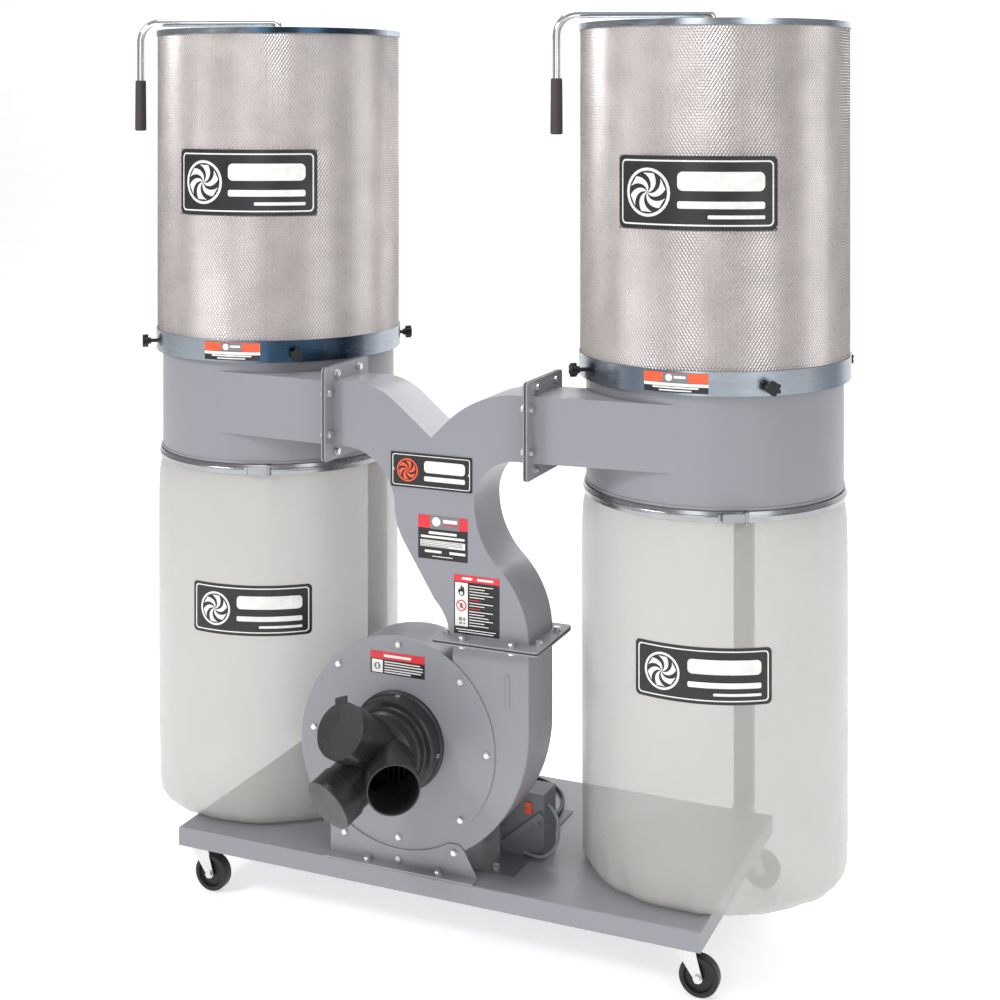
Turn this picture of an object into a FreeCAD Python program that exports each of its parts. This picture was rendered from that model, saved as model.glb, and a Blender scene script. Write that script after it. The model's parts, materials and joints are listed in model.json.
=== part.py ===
"""Twin-canister dust collector: a parametric FreeCAD document, in millimetres.

The machine stands on the floor at z = 0 with the blower inlet facing -Y.  Heights and
places are measured from the middle of the base; the shift cells move the whole machine
so that the origin is at the bottom centre of its bounding box.
"""
import FreeCAD, Part
import math
import os
import Sketcher
from FreeCAD import Placement, Rotation, Vector

doc = FreeCAD.newDocument("dust_collector")

DIMENSIONS = (
    ("shift_x", 19.1, "from the middle of the base to the bounding box's, along X"),
    ("shift_y", 70.5, "the same along Y"),
    # base and casters
    ("base_length", 1115, "base tray, left to right"),
    ("base_width", 537, "base tray, front to back"),
    ("base_top", 135, "height of the tray's top face"),
    ("skirt_depth", 38, "folded skirt of the tray"),
    ("plate", 3, "thickness of the base, brackets and flanges"),
    ("caster_x", 522, "caster swivel axis from the middle"),
    ("caster_y", 229, "the same along Y"),
    ("wheel_diameter", 75, "caster wheel"),
    ("wheel_width", 24, "caster wheel"),
    ("caster_trail", 23, "wheel axle behind the swivel axis"),
    ("axle_diameter", 8, "caster axle"),
    ("kingpin_diameter", 12, "caster swivel pin"),
    ("running_gap", 0.05, "radial clearance of a pin in its hole"),
    ("body_gap", 0.4, "clearance between parts that move past each other"),
    # blower
    ("blower_x", -62, "impeller axis from the middle of the base"),
    ("blower_z", 379.5, "impeller axis above the floor"),
    ("blower_front", -241, "front face of the casing and the duct"),
    ("blower_depth", 124, "casing, front to back"),
    ("sheet", 2, "wall of the casing, duct and stubs"),
    ("scroll_left", 222, "radius of the scroll's upper left quarter"),
    ("scroll_bottom", 211, "radius of its lower left quarter"),
    ("scroll_right", 285, "radius of its lower right quarter"),
    ("scroll_top", 574.5, "top of the scroll above the floor"),
    ("outlet_left", 51, "left wall of the outlet neck"),
    ("outlet_top", 592.5, "joint between casing and duct"),
    ("flange_rim", 30, "flange overhang round an opening"),
    ("cover_radius", 205, "front cover plate"),
    ("cover_bolt_radius", 189, "its bolt circle"),
    ("inlet_radius", 82, "hole in the cover"),
    ("adapter_radius", 98, "flange of the three-way inlet"),
    ("collar_radius", 94, "its first collar, outside"),
    ("port_radius", 50, "outside of a hose port: 4 inch hose"),
    ("port_wall", 3, "wall of a hose port"),
    ("port_tilt", 32.6, "degrees between a port and the blower axis"),
    ("port_reach", 154, "port length from where the three axes meet"),
    ("port_meet", -299, "where the three port axes meet, along Y"),
    ("cap_depth", 34, "sleeve of a port cap"),
    # duct
    ("arm_bottom", 946.5, "underside of the duct's arms"),
    ("arm_top", 1073.5, "top of the duct's arms"),
    ("arm_end", 215, "end of an arm from the middle"),
    ("notch_x", 7, "notch between the arms"),
    ("notch_z", 978.5, "height of the notch"),
    # drums, bags and canisters
    ("drum_x", 497, "drum axis from the middle"),
    ("drum_y", 33, "drum axis behind the middle"),
    ("drum_radius", 253, "drum outside"),
    ("drum_bottom", 886.5, "lower edge of the drum"),
    ("drum_top", 1120, "upper edge of the drum, inside the canister ring"),
    ("ring_bottom", 1095.5, "lower edge of the canister ring"),
    ("ring_height", 45, "canister ring"),
    ("ring_radius", 267.5, "canister ring outside"),
    ("canister_top", 1787.5, "rim of the top cap"),
    ("cap_rim", 12, "height of the top cap's rim"),
    ("media_inner", 236, "inner radius of the filter media"),
    ("media_outer", 262, "outer radius of the filter media"),
    ("bag_radius", 259, "dust bag at its fullest"),
    ("bag_wall", 2, "dust bag"),
    ("bag_corner", 55, "rounding of the bag's bottom edge"),
    ("clamp_height", 24, "bag clamp band"),
    # cranks and knobs
    ("rod_radius", 8, "crank rod"),
    ("crank_height", 1808, "axis of the crank's arm"),
    ("crank_reach", 312, "leg of the crank from the canister axis"),
    ("crank_bend", 42, "bend between arm and leg"),
    ("crank_leg", 86, "straight leg above the grip"),
    ("grip_radius", 12.5, "crank grip"),
    ("grip_length", 112, "crank grip"),
    ("crank_angle", 200, "degrees, direction of the crank's arm"),
    ("knob_angle", 37.5, "degrees, direction of the first ring knob"),
    ("knob_reach", 297, "knob face from the canister axis"),
    ("knob_height", 1113, "axis of the ring knobs"),
    # motor
    ("motor_radius", 92, "motor shell"),
    ("motor_front", -96, "front face of the motor"),
    ("motor_length", 255, "motor shell, bells included"),
    ("shaft_radius", 12, "motor shaft"),
    ("stand_top", 279, "top of the motor stand"),
)

sheet = doc.addObject("Spreadsheet::Sheet", "Dims")
for row, (name, number, meaning) in enumerate(DIMENSIONS, start=1):
    sheet.set("A%d" % row, name)
    sheet.set("B%d" % row, str(number))
    sheet.set("C%d" % row, meaning)
    sheet.setAlias("B%d" % row, name)
doc.recompute()


class Size:
    """A length from the sheet, or a formula of such lengths, with its expression."""

    def __init__(self, value, text):
        self.value = value
        self.text = text

    def __add__(self, other):
        return Size(self.value + number_of(other), "(%s + %s)" % (self.text, text_of(other)))

    def __sub__(self, other):
        return Size(self.value - number_of(other), "(%s - %s)" % (self.text, text_of(other)))

    def __rsub__(self, other):
        return Size(other - self.value, "(%s - %s)" % (text_of(other), self.text))

    def __mul__(self, other):
        return Size(self.value * number_of(other), "(%s * %s)" % (self.text, text_of(other)))

    def __truediv__(self, other):
        return Size(self.value / number_of(other), "(%s / %s)" % (self.text, text_of(other)))

    def __neg__(self):
        return Size(-self.value, "(0 - %s)" % self.text)

    __radd__ = __add__
    __rmul__ = __mul__


def number_of(size):
    return size.value if isinstance(size, Size) else float(size)


def text_of(size):
    return size.text if isinstance(size, Size) else "%.6f" % size


class Dimensions:
    """The sheet's cells by alias, each as a Size."""

    def __getattr__(self, alias):
        return Size(float(sheet.get(alias)), "Dims." + alias)


d = Dimensions()
parts = []


def root(size):
    return Size(math.sqrt(size.value), "sqrt(%s)" % size.text)


def polar(radius, degrees):
    """The point at a radius and a direction, degrees from +X."""
    angle = math.radians(number_of(degrees))
    return radius * math.cos(angle), radius * math.sin(angle)


# ---------------------------------------------------------------- drawing helpers

def bind(item, path, size):
    """Tie a property to the sheet."""
    item.setExpression(path, text_of(size))


def place(item, x=0, y=0, z=0, rotation=None):
    """Put an item at a point, turned first."""
    if rotation:
        item.Placement = Placement(Vector(), rotation)
    for letter, size in zip("xyz", (x, y, z)):
        bind(item, "Placement.Base." + letter, size)
    return item


def keep(item, label, x=0, y=0, z=0, rotation=None):
    """Name a finished sub-part, put it in its place and list it for writing."""
    item.Label = label
    place(item, x + d.shift_x, y + d.shift_y, z, rotation)
    parts.append(item)
    return item


TO_BACK = Rotation(Vector(1, 0, 0), -90)
TO_FRONT = Rotation(Vector(1, 0, 0), 90)
TO_RIGHT = Rotation(Vector(0, 1, 0), 90)
TO_LEFT = Rotation(Vector(0, 1, 0), -90)


def toward(degrees):
    """Turn +Z to point sideways in a direction, degrees from +X."""
    return Rotation(Vector(0, 0, 1), number_of(degrees)).multiply(TO_RIGHT)


def cylinder(radius, height, x=0, y=0, z=0, rotation=None):
    item = doc.addObject("Part::Cylinder", "cylinder")
    bind(item, "Radius", radius)
    bind(item, "Height", height)
    return place(item, x, y, z, rotation)


def box(length, width, height, x=0, y=0, z=0, rotation=None):
    """A block whose lowest corner is at the point."""
    item = doc.addObject("Part::Box", "block")
    for path, size in (("Length", length), ("Width", width), ("Height", height)):
        bind(item, path, size)
    return place(item, x, y, z, rotation)


def hexagon(across, height, x=0, y=0, z=0, rotation=None):
    item = doc.addObject("Part::Prism", "hexagon")
    item.Polygon = 6
    bind(item, "Circumradius", across / math.sqrt(3))
    bind(item, "Height", height)
    return place(item, x, y, z, rotation)


def elbow(bend, radius, x=0, y=0, z=0, rotation=None):
    """A quarter of a ring from +X to +Y about its own Z axis."""
    item = doc.addObject("Part::Torus", "elbow")
    bind(item, "Radius1", bend)
    bind(item, "Radius2", radius)
    item.Angle3 = 90
    return place(item, x, y, z, rotation)


def fuse(*items):
    item = doc.addObject("Part::MultiFuse", "fusion")
    item.Shapes = list(items)
    return item


def cut(base, *tools):
    item = doc.addObject("Part::Cut", "cut")
    item.Base = base
    item.Tool = tools[0] if len(tools) == 1 else fuse(*tools)
    return item


def group(items):
    """Separate solids that share one node."""
    item = doc.addObject("Part::Compound", "group")
    item.Links = list(items)
    return item


def copies(master, spots):
    """The same piece again at each (x, y, z, rotation)."""
    links = []
    for x, y, z, rotation in spots:
        link = doc.addObject("App::Link", master.Name + "_copy")
        link.setLink(master)
        links.append(place(link, x, y, z, rotation))
    return links


def new_body():
    return doc.addObject("PartDesign::Body", "body")


def new_sketch(body, plane, offset=0):
    """An empty sketch on one of the body's own origin planes."""
    sketch = body.newObject("Sketcher::SketchObject", "sketch")
    origin_plane = next(item for item in body.Origin.OriginFeatures if item.Role == plane)
    sketch.AttachmentSupport = [(origin_plane, "")]
    sketch.MapMode = "FlatFace"
    bind(sketch, "AttachmentOffset.Base.z", offset)
    return sketch


def constrain(sketch, kind, where, size):
    index = sketch.addConstraint(Sketcher.Constraint(kind, *where, number_of(size)))
    bind(sketch, "Constraints[%d]" % index, size)


def arc_between(start, end, radius):
    """The short arc from start to end; a radius under zero turns clockwise."""
    chord = end - start
    height = math.sqrt(radius ** 2 - chord.Length ** 2 / 4)
    aside = Vector(-chord.y, chord.x, 0).normalize() * math.copysign(height, radius)
    centre = (start + end) / 2 + aside
    angles = [math.atan2(point.y - centre.y, point.x - centre.x) for point in (start, end)]
    if radius < 0:
        angles.reverse()
    return Part.ArcOfCircle(Part.Circle(centre, Vector(0, 0, 1), abs(radius)), *angles)


def outline(sketch, corners):
    """A closed outline through (x, y) corners, each tied to the sheet.

    A third value makes the edge that leaves that corner an arc of this radius, which
    turns clockwise where the radius is negative.
    """
    first = sketch.GeometryCount
    spots = [Vector(number_of(corner[0]), number_of(corner[1]), 0) for corner in corners]
    ends = []
    for index, corner in enumerate(corners):
        start, end = spots[index], spots[(index + 1) % len(spots)]
        if len(corner) == 3:
            sketch.addGeometry(arc_between(start, end, number_of(corner[2])))
            ends.append((1, 2) if number_of(corner[2]) > 0 else (2, 1))
        else:
            sketch.addGeometry(Part.LineSegment(start, end))
            ends.append((1, 2))
    for index, corner in enumerate(corners):
        after = (index + 1) % len(corners)
        edge = first + index
        link = (edge, ends[index][1], first + after, ends[after][0])
        sketch.addConstraint(Sketcher.Constraint("Coincident", *link))
        constrain(sketch, "DistanceX", (-1, 1, edge, ends[index][0]), corner[0])
        constrain(sketch, "DistanceY", (-1, 1, edge, ends[index][0]), corner[1])
        if len(corner) == 3:
            size = corner[2] if number_of(corner[2]) > 0 else -corner[2]
            constrain(sketch, "Radius", (edge,), size)
    return sketch


def circle(sketch, x, y, radius):
    centre = Vector(number_of(x), number_of(y), 0)
    index = sketch.addGeometry(Part.Circle(centre, Vector(0, 0, 1), number_of(radius)))
    constrain(sketch, "DistanceX", (-1, 1, index, 3), x)
    constrain(sketch, "DistanceY", (-1, 1, index, 3), y)
    constrain(sketch, "Radius", (index,), radius)
    return sketch


def rectangle(sketch, x, y, length, width):
    """A rectangle from its lower left corner."""
    return outline(sketch, [(x, y), (x + length, y), (x + length, y + width), (x, y + width)])


def pad(sketch, length, back=False):
    body = sketch.getParentGeoFeatureGroup()
    feature = body.newObject("PartDesign::Pad", "pad")
    feature.Profile = sketch
    feature.Reversed = back
    bind(feature, "Length", length)
    return body


def pocket(sketch, length=None, back=False):
    """Cut a sketch out of its body, to a depth or right through both ways."""
    body = sketch.getParentGeoFeatureGroup()
    feature = body.newObject("PartDesign::Pocket", "pocket")
    feature.Profile = sketch
    feature.Reversed = back
    if length is None:
        feature.SideType = "Two sides"
        feature.Type = "ThroughAll"
        feature.Type2 = "ThroughAll"
    else:
        bind(feature, "Length", length)
    return body


def revolve(corners):
    """A body turned about its Z axis from an outline of (radius, height) corners."""
    body = new_body()
    sketch = outline(new_sketch(body, "XZ_Plane"), corners)
    feature = body.newObject("PartDesign::Revolution", "revolution")
    feature.Profile = sketch
    feature.ReferenceAxis = (sketch, ["V_Axis"])
    feature.Angle = 360
    return body


def round_edges(body, radius, wanted):
    """Round the edges of the body for which wanted(edge) holds."""
    doc.recompute()
    tip = body.Tip
    names = ["Edge%d" % (index + 1) for index, edge in enumerate(tip.Shape.Edges) if wanted(edge)]
    feature = body.newObject("PartDesign::Fillet", "rounding")
    feature.Base = (tip, names)
    bind(feature, "Radius", radius)
    return body


def along(axis, *spots):
    """A test for straight edges along an axis, through one of the spots if any is given.

    Spots are (x, y) pairs in the plane across the axis.
    """
    def wanted(edge):
        if not isinstance(edge.Curve, Part.Line):
            return False
        if abs(edge.Curve.Direction.dot(axis)) < 0.999:
            return False
        middle = edge.CenterOfMass
        across = [value for value, part in zip(middle, axis) if abs(part) < 0.5]
        return not spots or any(
            math.hypot(across[0] - number_of(x), across[1] - number_of(y)) < 1 for x, y in spots
        )
    return wanted


Z_AXIS = Vector(0, 0, 1)


# ---------------------------------------------------------------- fasteners

def hex_bolt(thread, grip, nut=True):
    """A bolt along -Z with its head above z = 0, a washer and, below the grip, a nut."""
    pieces = [
        cylinder(thread, thread * 0.3),
        hexagon(thread * 1.6, thread * 0.65, z=thread * 0.3),
        cylinder(thread * 0.5, grip + thread * 0.9, z=-(grip + thread * 0.9)),
    ]
    if nut:
        pieces.append(hexagon(thread * 1.6, thread * 0.75, z=-(grip + thread * 0.75)))
    return fuse(*pieces)


M8, M6 = 8, 6


# ---------------------------------------------------------------- base and casters

FOOT_BOLT_X = (-126, 28)
FOOT_BOLT_Y = -255
STAND_BOLTS = ((-176, -188), (122, -188), (-176, 100), (122, 100))


def base_plate():
    """Tray folded from sheet: a flat top with four skirts."""
    body = new_body()
    length, width = d.base_length, d.base_width
    pad(rectangle(new_sketch(body, "XY_Plane"), -length / 2, -width / 2, length, width),
        d.skirt_depth)
    inner = rectangle(new_sketch(body, "XY_Plane"), d.plate - length / 2, d.plate - width / 2,
                      length - 2 * d.plate, width - 2 * d.plate)
    pocket(inner, d.skirt_depth - d.plate, back=True)
    holes = new_sketch(body, "XY_Plane")
    for x in FOOT_BOLT_X:
        circle(holes, x, FOOT_BOLT_Y, 4.2)
    for x, y in STAND_BOLTS:
        circle(holes, x, y, 4.2)
    pocket(holes)
    round_edges(body, 3, lambda edge: edge.BoundBox.ZMin > number_of(d.skirt_depth) - 0.1
                and edge.Length > 100)
    return keep(body, "base_plate", z=d.base_top - d.skirt_depth)


CORNERS = (("front_left", -1, -1), ("front_right", 1, -1),
           ("rear_left", -1, 1), ("rear_right", 1, 1))


def caster_mounts():
    """A folded channel under each corner of the tray, with the caster's swivel pin."""
    depth = d.skirt_depth - d.plate
    half, length = 32, 60
    channel = pad(outline(new_sketch(new_body(), "YZ_Plane", -length / 2), [
        (-half, 0), (half, 0), (half, depth), (half - d.plate, depth), (half - d.plate, d.plate),
        (d.plate - half, d.plate), (d.plate - half, depth), (-half, depth)]), length)
    pin = cylinder(d.kingpin_diameter / 2, 16, z=-14.8)
    head = cylinder(10, 4, z=-14.8)
    mount = fuse(channel, pin, head)
    z = d.base_top - d.skirt_depth
    spots = [(side * d.caster_x, end * d.caster_y, z, None) for name, side, end in CORNERS[1:]]
    first = CORNERS[0]
    place(mount, first[1] * d.caster_x, first[2] * d.caster_y, z)
    return keep(group([mount] + copies(mount, spots)), "caster_mounts")


FORK_WEB = 10


def caster_fork(name, side, end):
    """Swivel head, two legs and the axle with its nuts; the swivel axis is at x = y = 0."""
    top = d.base_top - d.skirt_depth - d.body_gap
    drop = top - d.wheel_diameter / 2
    inside = d.wheel_width / 2 + 1
    leg_sheet = 2.5
    pieces = [cylinder(25, 4.5, z=-4.5), cylinder(21, FORK_WEB, z=-FORK_WEB)]
    for y in (-inside, inside + leg_sheet):
        leg = pad(outline(new_sketch(new_body(), "XZ_Plane"), [
            (-19, -3), (-17, -16), (d.caster_trail - 9, -drop, 9), (d.caster_trail, -drop - 9, 9),
            (d.caster_trail + 9, -drop), (20, -16), (20, -3)]), leg_sheet)
        pieces.append(place(leg, y=y))
    reach = inside + leg_sheet
    pieces.append(cylinder(d.axle_diameter / 2, 2 * reach, d.caster_trail, -reach, -drop, TO_BACK))
    pieces.append(hexagon(13, 5, d.caster_trail, -reach, -drop, TO_FRONT))
    pieces.append(hexagon(13, 5, d.caster_trail, reach, -drop, TO_BACK))
    bore = cylinder(d.kingpin_diameter / 2 + d.running_gap, 40, z=-30)
    fork = cut(fuse(*pieces), bore)
    return keep(fork, name + "_fork", side * d.caster_x, end * d.caster_y, top)


def caster_wheel(name, side, end):
    """Moulded wheel: hub, web and a round-shouldered tread."""
    half = d.wheel_width / 2
    hub = half + 0.6
    rim = d.wheel_diameter / 2
    bore = d.axle_diameter / 2 + d.running_gap
    body = revolve([
        (bore, -hub), (9, -hub), (9, -6), (26, -6), (28, -half), (rim - 4, -half, 4),
        (rim, 4 - half), (rim, half - 4, 4), (rim - 4, half), (28, half), (26, 6), (9, 6),
        (9, hub), (bore, hub)])
    return keep(body, name + "_wheel", side * d.caster_x + d.caster_trail, end * d.caster_y,
                d.wheel_diameter / 2, TO_BACK)


# ---------------------------------------------------------------- blower

def scroll_points(inset):
    """Corners of the blower's scroll, drawn inside its outline by the inset."""
    neck_radius = 190
    left_x, left_z = d.blower_x - d.scroll_left, d.scroll_top - d.scroll_left
    low_x, low_z = left_x + d.scroll_bottom, left_z - d.scroll_bottom
    right_x, right_z = low_x + d.scroll_right, low_z + d.scroll_right
    neck_x = d.outlet_left + inset
    span = neck_x - d.blower_x
    neck_arc = neck_radius - inset
    neck_z = d.scroll_top - neck_radius + root(neck_arc * neck_arc - span * span)
    top = d.outlet_top + inset
    return [
        (neck_x, top), (neck_x, neck_z, neck_arc),
        (d.blower_x, d.scroll_top - inset, d.scroll_left - inset),
        (left_x + inset, left_z, d.scroll_bottom - inset),
        (low_x, low_z + inset, d.scroll_right - inset),
        (right_x - inset, right_z), (right_x - inset, top)]


def outlet_right():
    return d.blower_x - d.scroll_left + d.scroll_bottom + d.scroll_right


def ring_of_spots(radius, count, first=0):
    """Points round the blower axis, in its front view."""
    spots = []
    for index in range(count):
        x, z = polar(radius, first + index * 360 / count)
        spots.append((d.blower_x + x, d.blower_z + z))
    return spots


def foot_bolt_spots():
    """Three bolts through the foot and the casing's rim."""
    spots = []
    for degrees in (239, 270, 301):
        x, z = polar(232, degrees)
        spots.append((d.blower_x + x, d.blower_z + z))
    return spots


def flange(left, right, bottom, top, rim, thickness, hole):
    """A flat rectangular frame on the XY plane round an opening, drilled for M8 bolts."""
    body = new_body()
    sketch = new_sketch(body, "XY_Plane")
    rectangle(sketch, left - rim, bottom - rim, right - left + 2 * rim, top - bottom + 2 * rim)
    rectangle(sketch, left + hole, bottom + hole, right - left - 2 * hole, top - bottom - 2 * hole)
    for x, y in flange_spots(left, right, bottom, top, rim):
        circle(sketch, x, y, 4.2)
    pad(sketch, thickness)
    corners = [(x, y) for x in (left - rim, right + rim) for y in (bottom - rim, top + rim)]
    return round_edges(body, 8, along(Z_AXIS, *corners))


def flange_spots(left, right, bottom, top, rim):
    """Bolt places on a flange: two on each side."""
    middle = rim / 2
    x_inner, y_inner = (right - left) * 0.18, (top - bottom) * 0.12
    spots = [(x, y) for x in (left + x_inner, right - x_inner) for y in (bottom - middle, top + middle)]
    spots += [(x, y) for x in (left - middle, right + middle) for y in (bottom + y_inner, top - y_inner)]
    return spots


def outlet_flange(thickness, z):
    """Flange on top of the casing or under the duct, in the machine's own place."""
    front, back = d.blower_front, d.blower_front + d.blower_depth
    body = flange(d.outlet_left, outlet_right(), front, back, d.flange_rim, thickness, d.sheet)
    return place(body, z=z)


def blower_housing():
    """Scroll casing with a round front opening, a shaft hole and an outlet flange."""
    body = new_body()
    depth = d.blower_depth
    pad(outline(new_sketch(body, "XZ_Plane"), scroll_points(0)), depth)
    round_edges(body, 4, lambda edge: edge.BoundBox.YMax < -number_of(depth) + 0.1
                and edge.BoundBox.ZMin < number_of(d.outlet_top) - 1)
    inside = outline(new_sketch(body, "XZ_Plane", d.sheet), scroll_points(d.sheet))
    pocket(inside, depth - 2 * d.sheet, back=True)
    front = new_sketch(body, "XZ_Plane", depth)
    circle(front, d.blower_x, d.blower_z, d.cover_bolt_radius - 12)
    for x, z in ring_of_spots(d.cover_bolt_radius, 8) + foot_bolt_spots():
        circle(front, x, z, 3.2)
    pocket(front, d.sheet * 1.5)
    pocket(circle(new_sketch(body, "XZ_Plane"), d.blower_x, d.blower_z, 26), d.sheet * 1.5, back=True)
    place(body, y=d.blower_front + depth)
    rim = outlet_flange(d.plate, d.outlet_top - d.plate)
    return keep(fuse(body, rim), "blower_housing")


SPIGOT_WALL = 1.9
GUARD_BAR, GUARD_PITCH = 3, 12


def guard_bars(body):
    """Upright finger-guard bars across the inlet hole, each ending inside the plate."""
    sketch = new_sketch(body, "XZ_Plane")
    reach = number_of(d.inlet_radius)
    for index in range(-6, 7):
        x = index * GUARD_PITCH
        half = math.sqrt(reach * reach - x * x) + 1
        outline(sketch, [(x - GUARD_BAR / 2, -half), (x + GUARD_BAR / 2, -half),
                         (x + GUARD_BAR / 2, half), (x - GUARD_BAR / 2, half)])
    pad(sketch, d.plate)


def housing_cover():
    """Round front plate with the inlet hole, its guard, and the spigot that the inlet fits over."""
    body = new_body()
    sketch = circle(new_sketch(body, "XZ_Plane"), 0, 0, d.cover_radius)
    circle(sketch, 0, 0, d.inlet_radius)
    for x, z in ring_of_spots(d.cover_bolt_radius, 8):
        circle(sketch, x - d.blower_x, z - d.blower_z, 3.2)
    pad(sketch, d.plate)
    spigot = circle(new_sketch(body, "XZ_Plane"), 0, 0, d.inlet_radius)
    pad(circle(spigot, 0, 0, d.inlet_radius + SPIGOT_WALL), d.plate + 30)
    guard_bars(body)
    return keep(body, "housing_cover", d.blower_x, d.blower_front, d.blower_z)


def set_of(master, spots):
    """A piece at its first spot and its copies at the others."""
    place(master, *spots[0])
    return [master] + copies(master, spots[1:])


def housing_fasteners():
    """Bolts of the cover and the foot, and the pan-head screws of the inlet's collar."""
    face = d.blower_front - d.plate
    bolt_spots = ring_of_spots(d.cover_bolt_radius, 8) + foot_bolt_spots()
    bolts = set_of(hex_bolt(M6, 5, nut=False), [(x, face, z, TO_FRONT) for x, z in bolt_spots])
    screw = fuse(cylinder(5, 2.5), cylinder(2, 14, z=-14))
    screws = set_of(screw, collar_spots(d.collar_radius))
    return keep(group(bolts + screws), "housing_fasteners")


def collar_spots(radius):
    """Four places round the inlet's collar, each turned to point outward."""
    spots = []
    for degrees in (-5, 85, 175, 265):
        x, z = polar(radius, degrees)
        spots.append((d.blower_x + x, d.blower_front - d.plate - 22, d.blower_z + z,
                      Rotation(Vector(0, 1, 0), 90 - degrees)))
    return spots


PORTS = (("upper", 110), ("lower", 230), ("open", 350))


def port_rotation(direction):
    """Turn +Z along a port: from -Y, leaning outward in this direction of the front view."""
    lean = Rotation(Vector(1, 0, 0), 90 - number_of(d.port_tilt))
    return Rotation(Vector(0, 1, 0), 90 - direction).multiply(lean)


def port_point(direction, reach):
    """A point on a port's axis, from where the axes meet, and the port's rotation."""
    rotation = port_rotation(direction)
    step = rotation.multVec(Vector(0, 0, 1))
    return (d.blower_x + reach * step.x, d.port_meet + reach * step.y,
            d.blower_z + reach * step.z, rotation)


HOSE_GRIP, HOSE_STEP = 36, 1


def inlet_adapter():
    """Moulded inlet: a stepped collar that divides into three hose ports."""
    outer = revolve([
        (0, 0), (d.adapter_radius, 0), (d.adapter_radius, 8), (d.collar_radius, 10),
        (d.collar_radius - 1, 38), (d.collar_radius - 5, 42), (80, 42), (77, 46), (76, 60),
        (71, 64), (70, 82), (60, 92), (0, 92)])
    hollow = revolve([(0, -1), (84, -1), (84, 34), (70, 40), (66, 56), (64, 74), (52, 84), (0, 84)])
    place(outer, d.blower_x, d.blower_front - d.plate, d.blower_z, TO_FRONT)
    place(hollow, d.blower_x, d.blower_front - d.plate, d.blower_z, TO_FRONT)
    tubes, bores = [], []
    for name, direction in PORTS:
        x, y, z, rotation = port_point(direction, 0)
        tubes.append(cylinder(d.port_radius - HOSE_STEP, d.port_reach, x, y, z, rotation))
        x_end, y_end, z_end, rotation = port_point(direction, d.port_reach - HOSE_GRIP)
        tubes.append(cylinder(d.port_radius, HOSE_GRIP, x_end, y_end, z_end, rotation))
        bores.append(cylinder(d.port_radius - d.port_wall, d.port_reach + 5, x, y, z, rotation))
    drills = [cylinder(2.1, 30, *spot) for spot in collar_spots(d.collar_radius - 20)]
    return keep(cut(fuse(outer, *tubes), hollow, *bores, *drills), "inlet_adapter")


def port_cap(name, direction):
    """Cap that slides over a port, with a pull tab on its rim."""
    wall, face = 2.5, 3
    inner = d.port_radius + 0.08
    body = revolve([
        (0, face), (inner, face), (inner, -d.cap_depth), (inner + wall, -d.cap_depth),
        (inner + wall, face + 1, 2), (inner + wall - 2, face + 3), (0, face + 3)])
    tab = box(26, 14, 3, -13, d.port_radius, face - 3)
    x, y, z, rotation = port_point(direction, d.port_reach - face + 0.2)
    return keep(fuse(body, tab), name + "_port_cap", x, y, z, rotation)


def front_foot():
    """Folded bracket: a flange bolted to the tray and a plate that hugs the cover."""
    face, rise = d.blower_front, d.base_top
    left, right = -214, 107
    corner_z, hug = d.blower_z - 183.5, 213
    hug_x = 108
    body = new_body()
    sketch = outline(new_sketch(body, "XZ_Plane"), [
        (left, rise), (right, rise), (80, corner_z - 12), (68, corner_z),
        (d.blower_x + hug_x, corner_z, -hug), (d.blower_x - hug_x, corner_z), (left, corner_z)])
    for x, z in foot_bolt_spots():
        circle(sketch, x, z, 3.2)
    pad(sketch, d.plate)
    shelf = new_sketch(body, "XY_Plane", rise)
    reach = d.base_width / 2 + d.blower_front
    rectangle(shelf, left, -reach, right - left, reach)
    for x in FOOT_BOLT_X:
        circle(shelf, x, FOOT_BOLT_Y - d.blower_front, 4.2)
    pad(shelf, d.plate)
    round_edges(body, 12, lambda edge: edge.BoundBox.YLength > 2
                and edge.BoundBox.XLength < 0.1 and edge.BoundBox.XMin > 60
                and edge.BoundBox.ZMin > number_of(corner_z) - 13)
    return keep(body, "front_foot", y=face)


# ---------------------------------------------------------------- duct and drums

JOINT_GAP = 3


def extrusion(profile, length):
    """A profile drawn in the XZ plane, drawn out toward -Y."""
    item = doc.addObject("Part::Extrusion", "extrusion")
    item.Base = profile
    item.DirMode = "Custom"
    item.Dir = Vector(0, -1, 0)
    item.Solid = True
    bind(item, "LengthFwd", length)
    return item


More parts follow.
